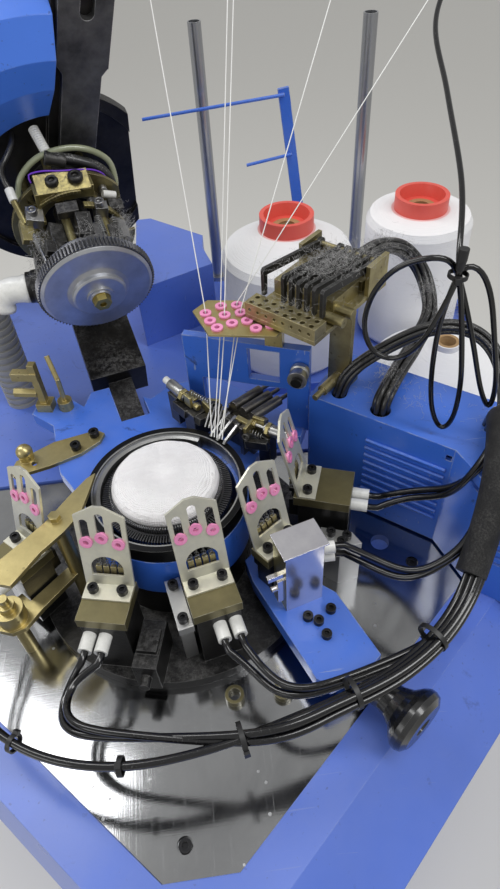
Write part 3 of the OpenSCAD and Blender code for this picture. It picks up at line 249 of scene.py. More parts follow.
# Each station: its place, its turn in degrees and how far out its hose fittings stand.
stations = [(-110, -16, -135, 34), (-47, -66, -104, 38), (23.5, -69, -78, 38), (77, -43, -54, 20), (108, 8, -20, 50)]
branch_ways = [
    [(-166, -100, -50), (-170, -132, -46), (-152, -150, -38)],
    [(-88, -140, -58), (-90, -162, -56), (-74, -184, -42), (-52, -195, -28)],
    [(52, -142, -54), (66, -162, -56), (88, -179, -45), (118, -173, -34)],
    [(160, -70, -47), (178, -88, -43), (194, -102, -36), (207, -116, -27)],
    [(204, -18, -34), (226, -32, -18), (241, -47, 0), (247, -58, 18)]]
joins = [1, 5, 8, 10, 13]


def outlet(i, side, distance):
    """A point on the way out of a station's fitting; the fourth station's fittings stand beside it."""
    if i == 3:
        return above_needles(122 + distance, -58, -54 if side < 0 else -42)
    x, y, turn, length = stations[i]
    a = math.radians(turn)
    along, across = length + 8 + distance, side * 6.5 + (-6 if i < 2 else 6)
    return above_needles(x + along * math.cos(a) - across * math.sin(a),
                         y + along * math.sin(a) + across * math.cos(a), -45)


for i in range(5):
    for k, side in enumerate((-1, 1)):
        offset, turn = (0.0031, k * math.pi) if i == 0 else (0.0084, (2 * i - 2 + k) * math.pi / 4)
        packed = bundled(front_route, offset, turn, joins[i])
        shift = Vector((side * 2.4, side * 0.9, side * 3.5)) / 1000
        free = [outlet(i, side, 10), outlet(i, side, 24)] + [above_needles(*p) + shift for p in branch_ways[i]]
        free_hose(f"station_hose_{i + 1}_{k + 1}", relax(smooth(free[:-1] + packed)), 0.003, black_hose)


# Rear bundle: the thin air hoses of the lever bank's valves, black and furred with lint. They leave the
# brass housing at the back, arch over and drop into the cable box's left gland.
rear_route = [above_needles(*p) for p in [
    (189.7, 134.03, 113), (199, 143.2, 113), (226, 168, 107), (254, 184, 90), (274, 178, 64), (272, 142, 44),
    (246, 104, 36), (222, 72, 36), (205, 48, 35), (198, 39, 29.5), (197, 38, 21), (197, 38, 6)]]
for k in range(7):
    line = smooth(bundled(rear_route, 0 if k == 6 else 0.0056, k * math.pi / 3))
    free_hose(f"valve_hose_{k + 1}", line, 0.0026, dusty_hose)


# Signal leads: furred black leads in one bundle that leaves the cable box by its small hole, bows out
# over the low package and dives into the woven sleeve of the front bundle.
lead_route = [above_needles(*p) for p in [
    (164.8, 65.2, 4), (165.8, 66.2, 20), (168, 67.5, 32), (177, 69, 46), (197, 69, 60), (223, 71, 72), (249, 71, 80),
    (274, 66, 80), (291, 55, 72), (297, 34, 61), (293, 8, 51), (286, -10, 47), (280, -19, 47)]]
for k in range(7):
    line = relax(smooth(bundled(lead_route, 0 if k == 6 else 0.0045, k * math.pi / 3)), 8)
    free_hose(f"signal_lead_{k + 1}", line, 0.0022, dusty_hose)


# Sensor cable: thin black cable that hangs from the overhead arm. Its spare length is tied in three
# loops over the cable box, and its moulded connector is caught in the tie.
loop_points = [
    (382, 345, 422.6), (356, 320, 366), (310, 281, 315), (268, 224, 277), (256, 146, 245), (242, 57, 212),
    (226, 4, 184), (232, 1, 155), (238, -2, 121), (244, -5, 78), (244, -5, 40), (238, -2, 26), (229, 3, 45),
    (223, 5, 84), (222, 6, 131), (226, 4, 168), (232, 6, 182), (242, 3, 178), (252, -2, 158), (261, -7, 121),
    (270, -11, 80), (270, -11, 54), (261, -7, 72), (249, 0, 114), (237, 5, 151), (228, 7, 174), (217, 3, 189),
    (203, 8, 187), (188, 16, 178), (175, 22, 157), (170, 25, 125), (178, 21, 101), (194, 13, 97), (209, 5, 116),
    (219, 1, 147), (225, 0, 170), (226, 0, 184)]
cable_line = relax(smooth([above_needles(*p) for p in loop_points], 0.005), 6)
sensor_cable = strand("sensor_cable", cable_line, 0.0021, black_hose)
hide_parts("harness")


# Ties and sleeve of the front bundle: black nylon ties with square heads, and a woven sleeve over the
# stretch that rises to the cable box.
def finished(name, mesh, finish, body="frame", smooth_angle=35, bevel=0.0):
    bmesh.ops.remove_doubles(mesh, verts=mesh.verts, dist=1e-6)
    bmesh.ops.recalc_face_normals(mesh, faces=mesh.faces)
    data = bpy.data.meshes.new(name)
    mesh.to_mesh(data)
    mesh.free()
    piece = bpy.data.objects.new(name, data)
    bpy.context.scene.collection.objects.link(piece)
    data.materials.append(finish.material)
    for face in data.polygons:
        face.use_smooth = True
    data.set_sharp_from_angle(angle=math.radians(smooth_angle))
    if bevel:
        rounding = piece.modifiers.new("rounding", "BEVEL")
        rounding.width = bevel
        rounding.segments = 2
        rounding.limit_method = "ANGLE"
    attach(piece, body)
    return piece


def facing_along(direction, place):
    """A frame at place whose Z runs along direction."""
    return Matrix.Translation(place) @ direction.to_track_quat("Z", "Y").to_matrix().to_4x4()


def add_rod(mesh, start, end, radius, sides=20, end_radius=None):
    way = end - start
    bmesh.ops.create_cone(mesh, cap_ends=True, segments=sides, radius1=radius,
                          radius2=radius if end_radius is None else end_radius, depth=way.length,
                          matrix=facing_along(way, (start + end) / 2))


def add_block(mesh, size, placed):
    bmesh.ops.create_cube(mesh, size=1, matrix=placed @ Matrix.Diagonal((*size, 1)))


def add_turned(mesh, profile, placed, steps=32):
    """Spins a closed profile of (radius, height) points about the Z of the frame placed."""
    corners = [mesh.verts.new(placed @ Vector((r, 0, z))) for r, z in profile]
    edges = [mesh.edges.new(pair) for pair in zip(corners, corners[1:] + corners[:1])]
    bmesh.ops.spin(mesh, geom=corners + edges, cent=placed.translation, axis=placed.to_3x3() @ Vector((0, 0, 1)),
                   dvec=(0, 0, 0), angle=2 * math.pi, steps=steps, use_merge=True, use_duplicate=False)


nylon = Finish("black_nylon", base_color=(0.012, 0.012, 0.013), roughness=0.42)
nylon.bump(nylon.noise(700, 2), 0.0002, 0.3)
front_line = relax(smooth(front_route))
ties = bmesh.new()
for share, radius in [(0.07, 0.0058), (0.2, 0.0058), (0.33, 0.0100), (0.47, 0.0108), (0.585, 0.0112)]:
    i = round(share * (len(front_line) - 1))
    placed = facing_along(front_line[i + 1] - front_line[i], front_line[i])
    add_turned(ties, [(radius, -0.0018), (radius + 0.0011, -0.0018), (radius + 0.0011, 0.0018),
                      (radius, 0.0018)], placed)
    head = Matrix.Rotation(share * 9, 4, "Z") @ Matrix.Translation((radius + 0.0016, 0, 0))
    add_block(ties, (0.003, 0.004, 0.0042), placed @ head)
finished("bundle_ties", ties, nylon)

cable_tie = bmesh.new()
tie_spot = above_needles(227, 3, 174)
add_turned(cable_tie, [(0.0062, -0.0018), (0.0072, -0.0018), (0.0072, 0.0018), (0.0062, 0.0018)],
           facing_along(Vector((0.1, 0.05, 1)), tie_spot))
add_block(cable_tie, (0.004, 0.005, 0.005), Matrix.Translation(tie_spot + Vector((-0.003, -0.0066, 0))))
end_way = (cable_line[-1] - cable_line[-3]).normalized()
add_rod(cable_tie, cable_line[-1] - end_way * 0.004, cable_line[-1] + end_way * 0.003, 0.0027, 16, 0.0034)
add_rod(cable_tie, cable_line[-1] + end_way * 0.003, cable_line[-1] + end_way * 0.012, 0.0036, 16)
cable_end = finished("sensor_cable_end", cable_tie, nylon, bevel=0.0003)
round(length_of(cable_line), 3)

woven = Finish("woven_sleeve")
cross = woven.node("TexWave", {"bands_direction": "DIAGONAL"},
                   {"Vector": woven.coordinates, "Scale": 420, "Distortion": 3}, 1)
fluff = woven.noise(700, 5, 0.8).above(0.55, 0.2) * woven.noise(60, 3).above(0.45, 0.3)
woven.put("Base Color", woven.mix(fluff * 0.6, (0.006, 0.006, 0.007), (0.11, 0.107, 0.103)))
woven.put("Roughness", fluff * 0.3 + 0.6)
woven.bump(cross + woven.noise(900, 2) * 0.8, 0.0006, 0.8)
sleeve_line = front_line[round(0.68 * len(front_line)):round(0.93 * len(front_line))]
sleeve = strand("bundle_sleeve", sleeve_line, 0.0120, woven, sides=10)


# Floor: a plain pale studio floor; it isn't part of the machine.
floor_mesh = bmesh.new()
bmesh.ops.create_grid(floor_mesh, x_segments=1, y_segments=1, size=30)
floor_data = bpy.data.meshes.new("floor")
floor_mesh.to_mesh(floor_data)
floor_mesh.free()
floor = bpy.data.objects.new("floor", floor_data)
bpy.context.scene.collection.objects.link(floor)
floor.location = (0, 0, -0.0005)
floor_finish = Finish("pale_floor", roughness=0.9)
floor_finish.put("Base Color", (0.74, 0.73, 0.70))
floor_data.materials.append(floor_finish.material)


# Light: two long soft ceiling lamps over the machine, a wide one from the left, and an even pale room.
def lamp(name, place, target, size, power):
    light = bpy.data.lights.new(name, "AREA")
    light.shape = "RECTANGLE"
    light.size, light.size_y, light.energy = *size, power
    holder = bpy.data.objects.new(name, light)
    bpy.context.scene.collection.objects.link(holder)
    holder.location = place
    holder.rotation_euler = (Vector(target) - Vector(place)).to_track_quat("-Z", "Y").to_euler()


lamp("ceiling_front", (0.9, -0.6, 3.0), (0, 0, 0.95), (0.5, 2.2), 26)
lamp("ceiling_left", (-1.4, 0.9, 2.9), (0, 0.1, 0.95), (0.5, 2.2), 24)
lamp("window_left", (-2.4, -1.6, 1.9), (0, 0, 1.0), (1.6, 1.2), 14)
world = bpy.data.worlds.new("studio")
bpy.context.scene.world = world
world.use_nodes = True
room = world.node_tree.nodes["Background"]
room.inputs["Color"].default_value = (0.80, 0.80, 0.79, 1)
room.inputs["Strength"].default_value = 0.62
bpy.context.scene.view_settings.view_transform = "Standard"


# Stand and bed: folded steel cabinet, cast bed with a broad sloping skirt, and the trays at the rear, in
# periwinkle blue satin enamel, scuffed grey along the corners and dulled by lint. The base plate and the
# motor are matt black.
def enamel(name, colour, worn, wear=0.5, radius=0.0012, grime=0.0):
    paint = Finish(name, coat_weight=0.3, coat_roughness=0.16)
    soft, corner = paint.edges(radius)
    cloudy = paint.noise(5.5, 4, 0.6)
    scuffed = corner * paint.noise(55, 4, 0.7).above(0.60 - wear * 0.12, 0.12)
    speck = paint.noise(240, 2, 0.6).above(0.70, 0.05) * paint.noise(9, 3).above(0.5, 0.3)
    dust = paint.facing("Z").above(0.85, 0.3) * paint.noise(14, 5, 0.65).above(0.5, 0.5)
    darker = tuple(c * 0.80 for c in colour)
    shade = paint.mix(cloudy.above(0.5, 0.5), darker, colour)
    shade = paint.mix(dust * 0.13, shade, (0.42, 0.43, 0.45))
    shade = paint.mix(speck * 0.5, shade, (0.04, 0.04, 0.05))
    grease = paint.noise(19, 6, 0.75, distortion=1.2).above(0.655, 0.07) * grime
    scratch = paint.noise(1, 2, 0.5, paint.stretch((14, 620, 60), (0, 0, 0.7))).above(0.73, 0.03) * grime
    shade = paint.mix(grease * 0.7, shade, (0.015, 0.016, 0.02))
    shade = paint.mix(scratch * 0.5, shade, worn)
    paint.put("Base Color", paint.mix(scuffed * wear, shade, worn))
    paint.put("Roughness", cloudy * 0.14 + dust * 0.22 + scuffed * 0.2 + 0.22)
    paint.bump(paint.noise(160, 2) * 0.5 + paint.noise(22, 2), 0.0003, 0.35, soft)
    return paint


bed_enamel = enamel("bed_enamel", (0.085, 0.175, 0.66), (0.34, 0.38, 0.50), 0.6, 0.0012, 0.35)
dress(bed_enamel, "cabinet", "bed_frame", "cone_tray")
matt_black = enamel("matt_black", (0.012, 0.012, 0.013), (0.12, 0.12, 0.12), 0.4)
dress(matt_black, "base_plate", "drive_motor")


# Bed plate: polished stainless sheet let into the bed, mirror bright, with wipe marks, fine scratches
# and oil spots; four socket screws hold it.
polished = Finish("polished_plate", metallic=1.0)
streaks = polished.noise(1, 3, 0.6, polished.stretch((900, 14, 40), (0, 0, 0.9)))
fine = polished.noise(1, 2, 0.6, polished.stretch((16, 1300, 40), (0, 0, 0.35)))
smear = polished.noise(11, 5, 0.65, distortion=0.6)
spots = polished.cells(70).below(0.10, 0.05) * polished.noise(13, 2).above(0.58, 0.1)
polished.put("Base Color", polished.mix(smear.above(0.55, 0.4), (0.43, 0.435, 0.445), (0.30, 0.305, 0.315)))
polished.put("Roughness", smear.above(0.5, 0.5) * 0.10 + streaks.above(0.66, 0.1) * 0.12 + spots * 0.35 + 0.06)
polished.bump(streaks * 0.5 + fine * 0.5 + smear * 0.8, 0.0002, 0.16)
dress(polished, "bed_plate")


# Screws: black oxide socket heads, with grease round them.
oxide = Finish("black_oxide", metallic=0.7)
soft, corner = oxide.edges(0.0005)
rubbed = corner * oxide.noise(300, 2).above(0.5, 0.2)
oxide.put("Base Color", oxide.mix(rubbed, (0.016, 0.016, 0.018), (0.14, 0.14, 0.14)))
oxide.put("Roughness", oxide.noise(90, 3) * 0.3 + 0.25)
oxide.bump(oxide.noise(600, 2), 0.0002, 0.3, soft)
dress(oxide, "cap_screws")


# Blue castings: the feeder table, front arm, cable box, guide bracket and the head's hood, in strong
# satin blue; corners rub through to a pale undercoat, and lint and oil settle on the flats.
casting_blue = enamel("casting_blue", (0.045, 0.165, 0.72), (0.45, 0.50, 0.58), 0.85, 0.0016, 1.0)
dress(casting_blue, "feeder_table", "front_arm", "cable_box", "guide_bracket")
hood_blue = enamel("hood_blue", (0.06, 0.20, 0.80), (0.45, 0.50, 0.58), 0.3, 0.0016)
dress(hood_blue, "head_hood")


# Poles and guide stand: plain ground steel tube, a little tarnished.
tube_steel = Finish("tube_steel", metallic=0.9)
drawn = tube_steel.noise(1, 3, 0.6, tube_steel.stretch((60, 60, 2)))
tube_steel.put("Base Color", tube_steel.mix(drawn, (0.30, 0.31, 0.33), (0.50, 0.51, 0.53)))
tube_steel.put("Roughness", drawn * 0.2 + 0.2)
tube_steel.bump(drawn, 0.0002, 0.2)
dress(tube_steel, "creel_poles", "yarn_stand")


# Yarn packages: white cross-wound yarn on cardboard cores; the two tall ones wear coral red caps.
wound = Finish("wound_yarn")
height = wound.axis("Z")
layers = wound.noise(1, 3, 0.6, wound.stretch((30, 30, 1900), (0.10, 0.06, 0)))
cross_wind = wound.noise(1, 3, 0.6, wound.stretch((40, 40, 1500), (-0.16, 0.1, 0)))
capped = height.above(1.0702, 0.0006)
cream = wound.mix(layers * 0.5, (0.86, 0.86, 0.87), (0.74, 0.74, 0.76))
core = 0
for x, y, reach in [(0.157, 0.312, 0.0168), (0.318, 0.325, 0.0168), (0.312, 0.172, 0.0126)]:
    core = wound.from_axis(x, y).below(reach, 0.0006) + core
paper = wound.mix(layers, (0.42, 0.27, 0.13), (0.34, 0.21, 0.10))
wound.put("Base Color", wound.mix(core, wound.mix(capped, cream, (0.72, 0.10, 0.075)), paper))
wound.put("Roughness", capped * -0.42 + 0.82)
wound.bump((layers + cross_wind) * (1 - capped), 0.0008, 0.6)
dress(wound, "yarn_cones")
yarn_white = Finish("yarn_white", base_color=(0.82, 0.82, 0.80), roughness=0.8)
yarn_white.bump(yarn_white.noise(3000, 2), 0.0002, 0.6)
dress(yarn_white, "yarn_strands")


# Cam box: cast and machined cam disc, cam ring and selector housings, oil black with grey fly on top.
def oiled(name, dark, light, fly=0.5, shine=0.3, metallic=0.6):
    metal = Finish(name, metallic=metallic)
    soft, corner = metal.edges(0.0009)
    patches = metal.noise(24, 5, 0.65)
    bare = corner * metal.noise(110, 3, 0.6).above(0.42, 0.2)
    lint = (metal.facing("Z").above(0.55, 0.6) * metal.noise(210, 6, 0.85).above(0.60, 0.3)
            * metal.noise(17, 3).above(0.45, 0.2))
    shade = metal.mix(patches.above(0.5, 0.35), dark, light)
    shade = metal.mix(bare * 0.6, shade, tuple(min(1, c * 3 + 0.1) for c in light))
    metal.put("Base Color", metal.mix(lint * fly, shade, (0.26, 0.255, 0.25)))
    metal.put("Roughness", patches * 0.3 + lint * 0.4 + shine)
    metal.bump(metal.noise(260, 3) + lint * 2, 0.0004, 0.35, soft)
    return metal


cam_black = oiled("cam_black", (0.012, 0.012, 0.013), (0.035, 0.034, 0.033), 0.5, 0.16)
dress(cam_black, "cam_box", "hinge_bracket")


# Outer ring: cast iron ring round the sinkers, black outside, its bore ground bright and streaked with oil.
ring_iron = Finish("ring_iron", metallic=0.9)
bore = ring_iron.from_axis().below(0.0646, 0.0006)
streak = ring_iron.noise(1, 4, 0.6, ring_iron.stretch((60, 60, 900)))
oily = ring_iron.noise(26, 5, 0.7)
soft, corner = ring_iron.edges(0.0006)
ground = ring_iron.mix(oily.above(0.56, 0.2), (0.50, 0.50, 0.48), (0.16, 0.155, 0.145))
iron = ring_iron.mix(bore, (0.02, 0.02, 0.021), ground)
ring_iron.put("Base Color", ring_iron.mix(corner * 0.5, iron, (0.36, 0.36, 0.35)))
ring_iron.put("Roughness", streak * 0.2 + oily * 0.16 + 0.16)
ring_iron.bump(streak + oily, 0.0002, 0.3, soft)
dress(ring_iron, "outer_ring")


# Needle cylinder and sinker ring: hardened steel, ground and oiled. The needles stand in the tricks in
# a bright fence; the sinkers lie between them, and the rings round them are worn bright on top.
def machined(name, tone, rough, grain=(500, 500, 500), oil=0.4):
    steel = Finish(name, metallic=0.95)
    soft, corner = steel.edges(0.0005)
    turned = steel.noise(1, 3, 0.6, steel.stretch(grain))
    film = steel.noise(30, 4, 0.65)
    shade = steel.mix(film.above(0.55, 0.4) * oil, tone, tuple(c * 0.45 for c in tone))
    steel.put("Base Color", steel.mix(corner * 0.5, shade, tuple(min(0.85, c * 1.5) for c in tone)))
    steel.put("Roughness", turned * 0.16 + film * 0.16 + rough)
    steel.bump(turned + film * 0.5, 0.0002, 0.25, soft)
    return steel


dress(machined("cylinder_steel", (0.24, 0.24, 0.25), 0.18, (60, 60, 1500)),
      "needle_cylinder", "cylinder_pulley", "motor_pulley")
dress(machined("sinker_steel", (0.10, 0.10, 0.105), 0.2), "sinkers")
dress(machined("needle_steel", (0.55, 0.55, 0.56), 0.14), "needles")
dress(machined("ring_steel", (0.34, 0.34, 0.335), 0.18, (700, 700, 60), 0.7), "sinker_cap")
rubber = Finish("rubber_belt", base_color=(0.016, 0.016, 0.016), roughness=0.7)
rubber.bump(rubber.noise(300, 3), 0.0003, 0.4)
dress(rubber, "drive_belt")

# Latch needles' hooks: each needle ends in a bent hook with its latch lying open behind it.
hooks = bmesh.new()
for i in range(144):
    turn = Matrix.Rotation(2 * math.pi * i / 144, 4, "Z")
    stem = Vector((0.0477, 0, 1.0086))
    bend = [stem, stem + Vector((0, 0, 0.0016)), stem + Vector((0.0006, 0, 0.0024)), stem + Vector((0.0013, 0, 0.0020)),
            stem + Vector((0.0014, 0, 0.0012))]
    for a, b in zip(bend, bend[1:]):
        add_rod(hooks, turn @ a, turn @ b, 0.00026, 5)
hook_finish = machined("hook_steel", (0.62, 0.62, 0.63), 0.12)
finished("needle_hooks", hooks, hook_finish, "cylinder")


# Knitted fabric: the white stocking tube coming off the needles, in fine plain knit of cotton and nylon.
# The tube lines the bore and rolls over its rim; the crown is the low soft dome that closes it. They are
# two pieces.
tube_profile = [(0.0398, -0.0660), (0.0402, -0.0700), (0.0405, -0.0660), (0.0405, -0.0040), (0.0412, -0.0018),
                (0.0440, -0.0010), (0.0460, 0.0002), (0.0465, 0.0030), (0.0456, 0.0064), (0.0432, 0.0096),
                (0.0404, 0.0116), (0.0398, 0.0110)]
crown_profile = [(0.0404, 0.0116), (0.0385, 0.0125), (0.0335, 0.0142), (0.0275, 0.0153), (0.0210, 0.0158),
                 (0.0140, 0.0159), (0.0075, 0.0158), (0.0015, 0.0158)]


def knitted(profile, closed):
    """Spins a profile of (radius, height above the needle tops); an open one is capped at its middle."""
    mesh = bmesh.new()
    corners = [mesh.verts.new((r, 0, 1.01 + z)) for r, z in profile]
    edges = [mesh.edges.new(pair) for pair in zip(corners, corners[1:] + corners[:1] if closed else corners[1:])]
    bmesh.ops.spin(mesh, geom=corners + edges, cent=(0, 0, 1), axis=(0, 0, 1), dvec=(0, 0, 0), angle=2 * math.pi,
                   steps=144, use_merge=True, use_duplicate=False)
    if not closed:
        middle = [e for e in mesh.edges if e.is_boundary and e.verts[0].co.xy.length < 0.003]
        bmesh.ops.edgeloop_fill(mesh, edges=middle)
    for v in mesh.verts:
        if v.co.z > 1.0125:
            inside = min(1.0, (0.0466 - v.co.xy.length) / 0.008)
            fold = noise.noise(Vector((v.co.x * 120, v.co.y * 34, 3)))
            soft_rise = noise.fractal(v.co * 46, 0.8, 2.1, 3) * 0.0018 + fold * 0.0010
            v.co.z += inside * (soft_rise - 0.0004)
    return mesh


knit = Finish("white_knit", roughness=0.85)
radius = knit.from_axis()
wale = (knit.axis("Y").maths("ARCTAN2", knit.axis("X")) * 144).sine() * radius.above(0.012, 0.014)
course = ((radius + knit.axis("Z")) * (6283 / 1.1)).sine()
pucker = knit.noise(55, 4, 0.6)
creases_and_shade = knit.noise(1, 4, 0.6, knit.stretch((40, 100, 30), (0, 0, 0.5)), distortion=0.8)
# The colour is painted darker where the crease pattern is low, in the crease valleys: painted shade.
knit.put("Base Color", knit.mix(creases_and_shade.below(0.45, 0.25) * 0.35, (0.87, 0.86, 0.87), (0.74, 0.71, 0.73)))
knit.bump(wale * 0.10 + course * 0.10 + pucker * 1.3 + creases_and_shade * 1.4, 0.0020, 0.75)
around = 0.286
for name, profile, closed, anchor, keep in [("knitted_tube", tube_profile, True, 1.0105, 0.25),
                                            ("knitted_crown", crown_profile, False, 0.94, 0.62)]:
    mesh = knitted(profile, closed)
    layers = 2 if closed else 1
    area = sum(face.calc_area() for face in mesh.faces) / layers
    fabric = finished(name, mesh, knit, "frame", 80)
    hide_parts("knitted_fabric")
    round(area / around, 4)
    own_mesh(fabric)


# Eye brackets: laser-cut steel plates, plated a creamy yellow, with thread polished slots; they are screwed
# to the slabs by their folded feet. Pink alumina eyelets sit in the slots.
plated = Finish("cream_plating", metallic=0.55)
soft, corner = plated.edges(0.0004)
bloom = plated.noise(45, 4, 0.65)
cream_plate = plated.mix(bloom.above(0.5, 0.4), (0.74, 0.72, 0.58), (0.58, 0.57, 0.49))
plated.put("Base Color", plated.mix(corner * 0.5, cream_plate, (0.82, 0.81, 0.74)))
plated.put("Roughness", bloom * 0.25 + plated.noise(1, 2, 0.5, plated.stretch((900, 900, 30))) * 0.12 + 0.16)
plated.bump(plated.noise(380, 3) * 0.6 + bloom, 0.0002, 0.25, soft)
dress(plated, "eye_brackets")
ceramic = Finish("pink_ceramic", coat_weight=0.6, coat_roughness=0.08)
ceramic.put("Base Color", ceramic.mix(ceramic.noise(120, 3), (0.80, 0.22, 0.47), (0.86, 0.33, 0.56)))
ceramic.put("Roughness", ceramic.noise(300, 2) * 0.1 + 0.2)
ceramic.bump(ceramic.noise(500, 2), 0.0001, 0.15, ceramic.edges(0.0005)[0])
dress(ceramic, "eyelets")


# Selector blocks: aluminium slabs anodised a dull olive bronze; the riser bar at the third station and the
# side block are plain bright steel.
bronze = Finish("bronze_anodised")
place_x, place_y, place_z = bronze.axis("X"), bronze.axis("Y"), bronze.axis("Z")
side_block = place_x.above(0.128, 0.0004) * place_z.below(0.957, 0.0004)
third_turn = math.radians(78)
local_y = (place_x - 0.0235) * math.sin(third_turn) + (place_y + 0.069) * math.cos(third_turn)
riser_bar = local_y.below(-0.0202, 0.0004) * local_y.above(-0.036, 0.001) * place_x.below(0.1, 0.01)
bare = (side_block + riser_bar).maths("ADD", 0, clamp=True)
soft, corner = bronze.edges(0.0007)
brushed = bronze.noise(1, 3, 0.6, bronze.stretch((700, 700, 40)))
cloud = bronze.noise(35, 4, 0.6)
olive = bronze.mix(cloud.above(0.5, 0.4), (0.20, 0.175, 0.085), (0.125, 0.11, 0.055))
olive = bronze.mix(corner * bronze.noise(90, 2).above(0.42, 0.2) * 0.7, olive, (0.52, 0.50, 0.42))
bronze.put("Base Color", bronze.mix(bare, olive, bronze.mix(cloud, (0.62, 0.62, 0.61), (0.45, 0.45, 0.45))))
bronze.put("Metallic", bare * 0.3 + 0.65)
bronze.put("Roughness", brushed * 0.14 + cloud * 0.14 + 0.20)
bronze.bump(brushed + cloud, 0.0002, 0.2, soft)
dress(bronze, "feeder_blocks")


# Small white polymer parts: push fittings of the hoses. Dull with handling, darkened in grubby patches.
white_plastic = Finish("white_plastic", coat_weight=0.2, coat_roughness=0.2)
soft, corner = white_plastic.edges(0.0006)
grubby = white_plastic.noise(70, 4, 0.7).above(0.54, 0.2)
white_plastic.put("Base Color", white_plastic.mix(grubby * 0.35, (0.78, 0.78, 0.75), (0.42, 0.42, 0.40)))
white_plastic.put("Roughness", grubby * 0.2 + 0.3)
white_plastic.bump(white_plastic.noise(260, 2), 0.0002, 0.2, soft)
dress(white_plastic, "hose_connectors")


# Sensor housing on the arm: mirror polished steel on its front and right, bronze film on the left side,
# with a folded top sheet and a small white connector on its left.
sensor_finish = Finish("sensor_steel", metallic=0.92)
turned = sensor_finish.facing("X") * math.cos(math.radians(16)) + sensor_finish.facing("Y") * math.sin(math.radians(16))
left_face = turned.below(-0.7, 0.1)
haze = sensor_finish.noise(40, 4, 0.6)
plain = sensor_finish.mix(haze.above(0.5, 0.4), (0.72, 0.71, 0.74), (0.58, 0.57, 0.62))
sensor_finish.put("Base Color", sensor_finish.mix(left_face, plain, (0.36, 0.33, 0.18)))
sensor_finish.put("Roughness", haze * 0.16 + left_face * 0.12 + 0.10)
sensor_finish.bump(haze + sensor_finish.noise(600, 2) * 0.3, 0.0002, 0.25, sensor_finish.edges(0.0006)[0])
dress(sensor_finish, "sensor_box")


# Brass work: eye plate, comb, lever housing and upright, the left plate and arm, the dial head's frame.
# Plated in dull yellow olive, stained by oil, rubbed bright on corners.
def brass(name, tone, stain, rough=0.24, worn=(0.80, 0.70, 0.42), lint=0.0):
    metal = Finish(name, metallic=0.88)
    soft, corner = metal.edges(0.0006)
    blotch = metal.noise(38, 5, 0.65)
    spots = metal.cells(150).below(0.18, 0.1) * metal.noise(28, 2).above(0.55, 0.1)
    fluff = (metal.facing("Z").above(0.4, 0.6) * metal.noise(420, 4, 0.8).above(0.58, 0.1)
             * metal.noise(24, 3).above(0.46, 0.2))
    shade = metal.mix(blotch.above(0.52, 0.35), tone, stain)
    shade = metal.mix(spots * 0.5, shade, tuple(c * 0.35 for c in stain))
    shade = metal.mix(corner * metal.noise(120, 2).above(0.4, 0.2) * 0.7, shade, worn)
    metal.put("Base Color", metal.mix(fluff * lint, shade, (0.27, 0.265, 0.26)))
    metal.put("Metallic", 0.88 - fluff * (lint * 0.8))
    metal.put("Roughness", blotch * 0.2 + spots * 0.2 + fluff * (lint * 0.5) + rough)
    metal.bump(metal.noise(300, 3) * 0.6 + blotch + fluff * (lint * 3), 0.0003, 0.3, soft)
    return metal


yellow_brass = brass("yellow_brass", (0.56, 0.47, 0.22), (0.40, 0.33, 0.15))
dress(yellow_brass, "brass_plate", "brass_arm", "eye_plate")
dusty_brass = brass("dusty_brass", (0.44, 0.385, 0.20), (0.25, 0.21, 0.11), 0.30, lint=0.7)
dress(dusty_brass, "comb_bar", "lever_housing", "brass_upright")
head_brass = brass("head_brass", (0.36, 0.31, 0.13), (0.17, 0.145, 0.075), 0.30, lint=0.4)
dress(head_brass, "head_frame")
dark_fingers = brass("finger_steel", (0.20, 0.19, 0.17), (0.07, 0.065, 0.06), 0.26, (0.5, 0.48, 0.42), 0.4)
dress(dark_fingers, "finger_block")
dress(machined("guide_steel", (0.50, 0.50, 0.49), 0.16),
      "guide_roller", "yarn_finger_1", "yarn_finger_2", "yarn_finger_3")


# Levers: seven blackened steel levers in a bank, grey with fibre fly on their tops.
lever_black = oiled("lever_black", (0.014, 0.014, 0.015), (0.045, 0.044, 0.043), 0.9, 0.26)
dress(lever_black, *(f"lever_{k}" for k in range(1, 8)))


# Dial head: black oily castings and lift arm, and the dial's own steel: saw-toothed ring, cam and disc.
dress(oiled("head_black", (0.011, 0.011, 0.012), (0.040, 0.038, 0.036), 0.75, 0.18), "head_body")
dress(oiled("rail_steel", (0.05, 0.05, 0.052), (0.17, 0.17, 0.17), 1.0, 0.28, 0.7), "slotted_plate")
dial_axis = Vector((-0.23674, 0.9154, 0.32557)).normalized()
dial_centre = Vector((-0.04569, 0.17667, 1.09383))


def about_dial(finish):
    """Distance from the dial's own axis."""
    offset = finish.node("VectorMath", {"operation": "SUBTRACT"},
                         {0: finish.coordinates, 1: tuple(dial_centre)}, "Vector")
    across = finish.node("VectorMath", {"operation": "CROSS_PRODUCT"}, {0: offset, 1: tuple(dial_axis)}, "Vector")
    return finish.node("VectorMath", {"operation": "LENGTH"}, {0: across}, "Value")


dial_steel = Finish("dial_steel", metallic=0.95)
reach = about_dial(dial_steel)
rings = dial_steel.node("TexNoise", {"noise_dimensions": "1D"}, {"W": reach, "Scale": 2600, "Detail": 3}, "Fac")
smudge = dial_steel.noise(45, 4, 0.6)
nut = reach.below(0.0092, 0.0004)
plate = dial_steel.mix(smudge.above(0.5, 0.4), (0.58, 0.59, 0.62), (0.42, 0.43, 0.46))
dial_steel.put("Base Color", dial_steel.mix(nut, plate, (0.40, 0.33, 0.12)))
dial_steel.put("Roughness", rings * 0.16 + smudge * 0.18 + 0.24)
dial_steel.bump(rings, 0.0002, 0.35, dial_steel.edges(0.0007)[0])
dress(dial_steel, "dial_disc")
dress(machined("saw_steel", (0.13, 0.13, 0.135), 0.18), "saw_ring")
dress(machined("dial_cam_steel", (0.20, 0.20, 0.205), 0.2), "dial_cam")


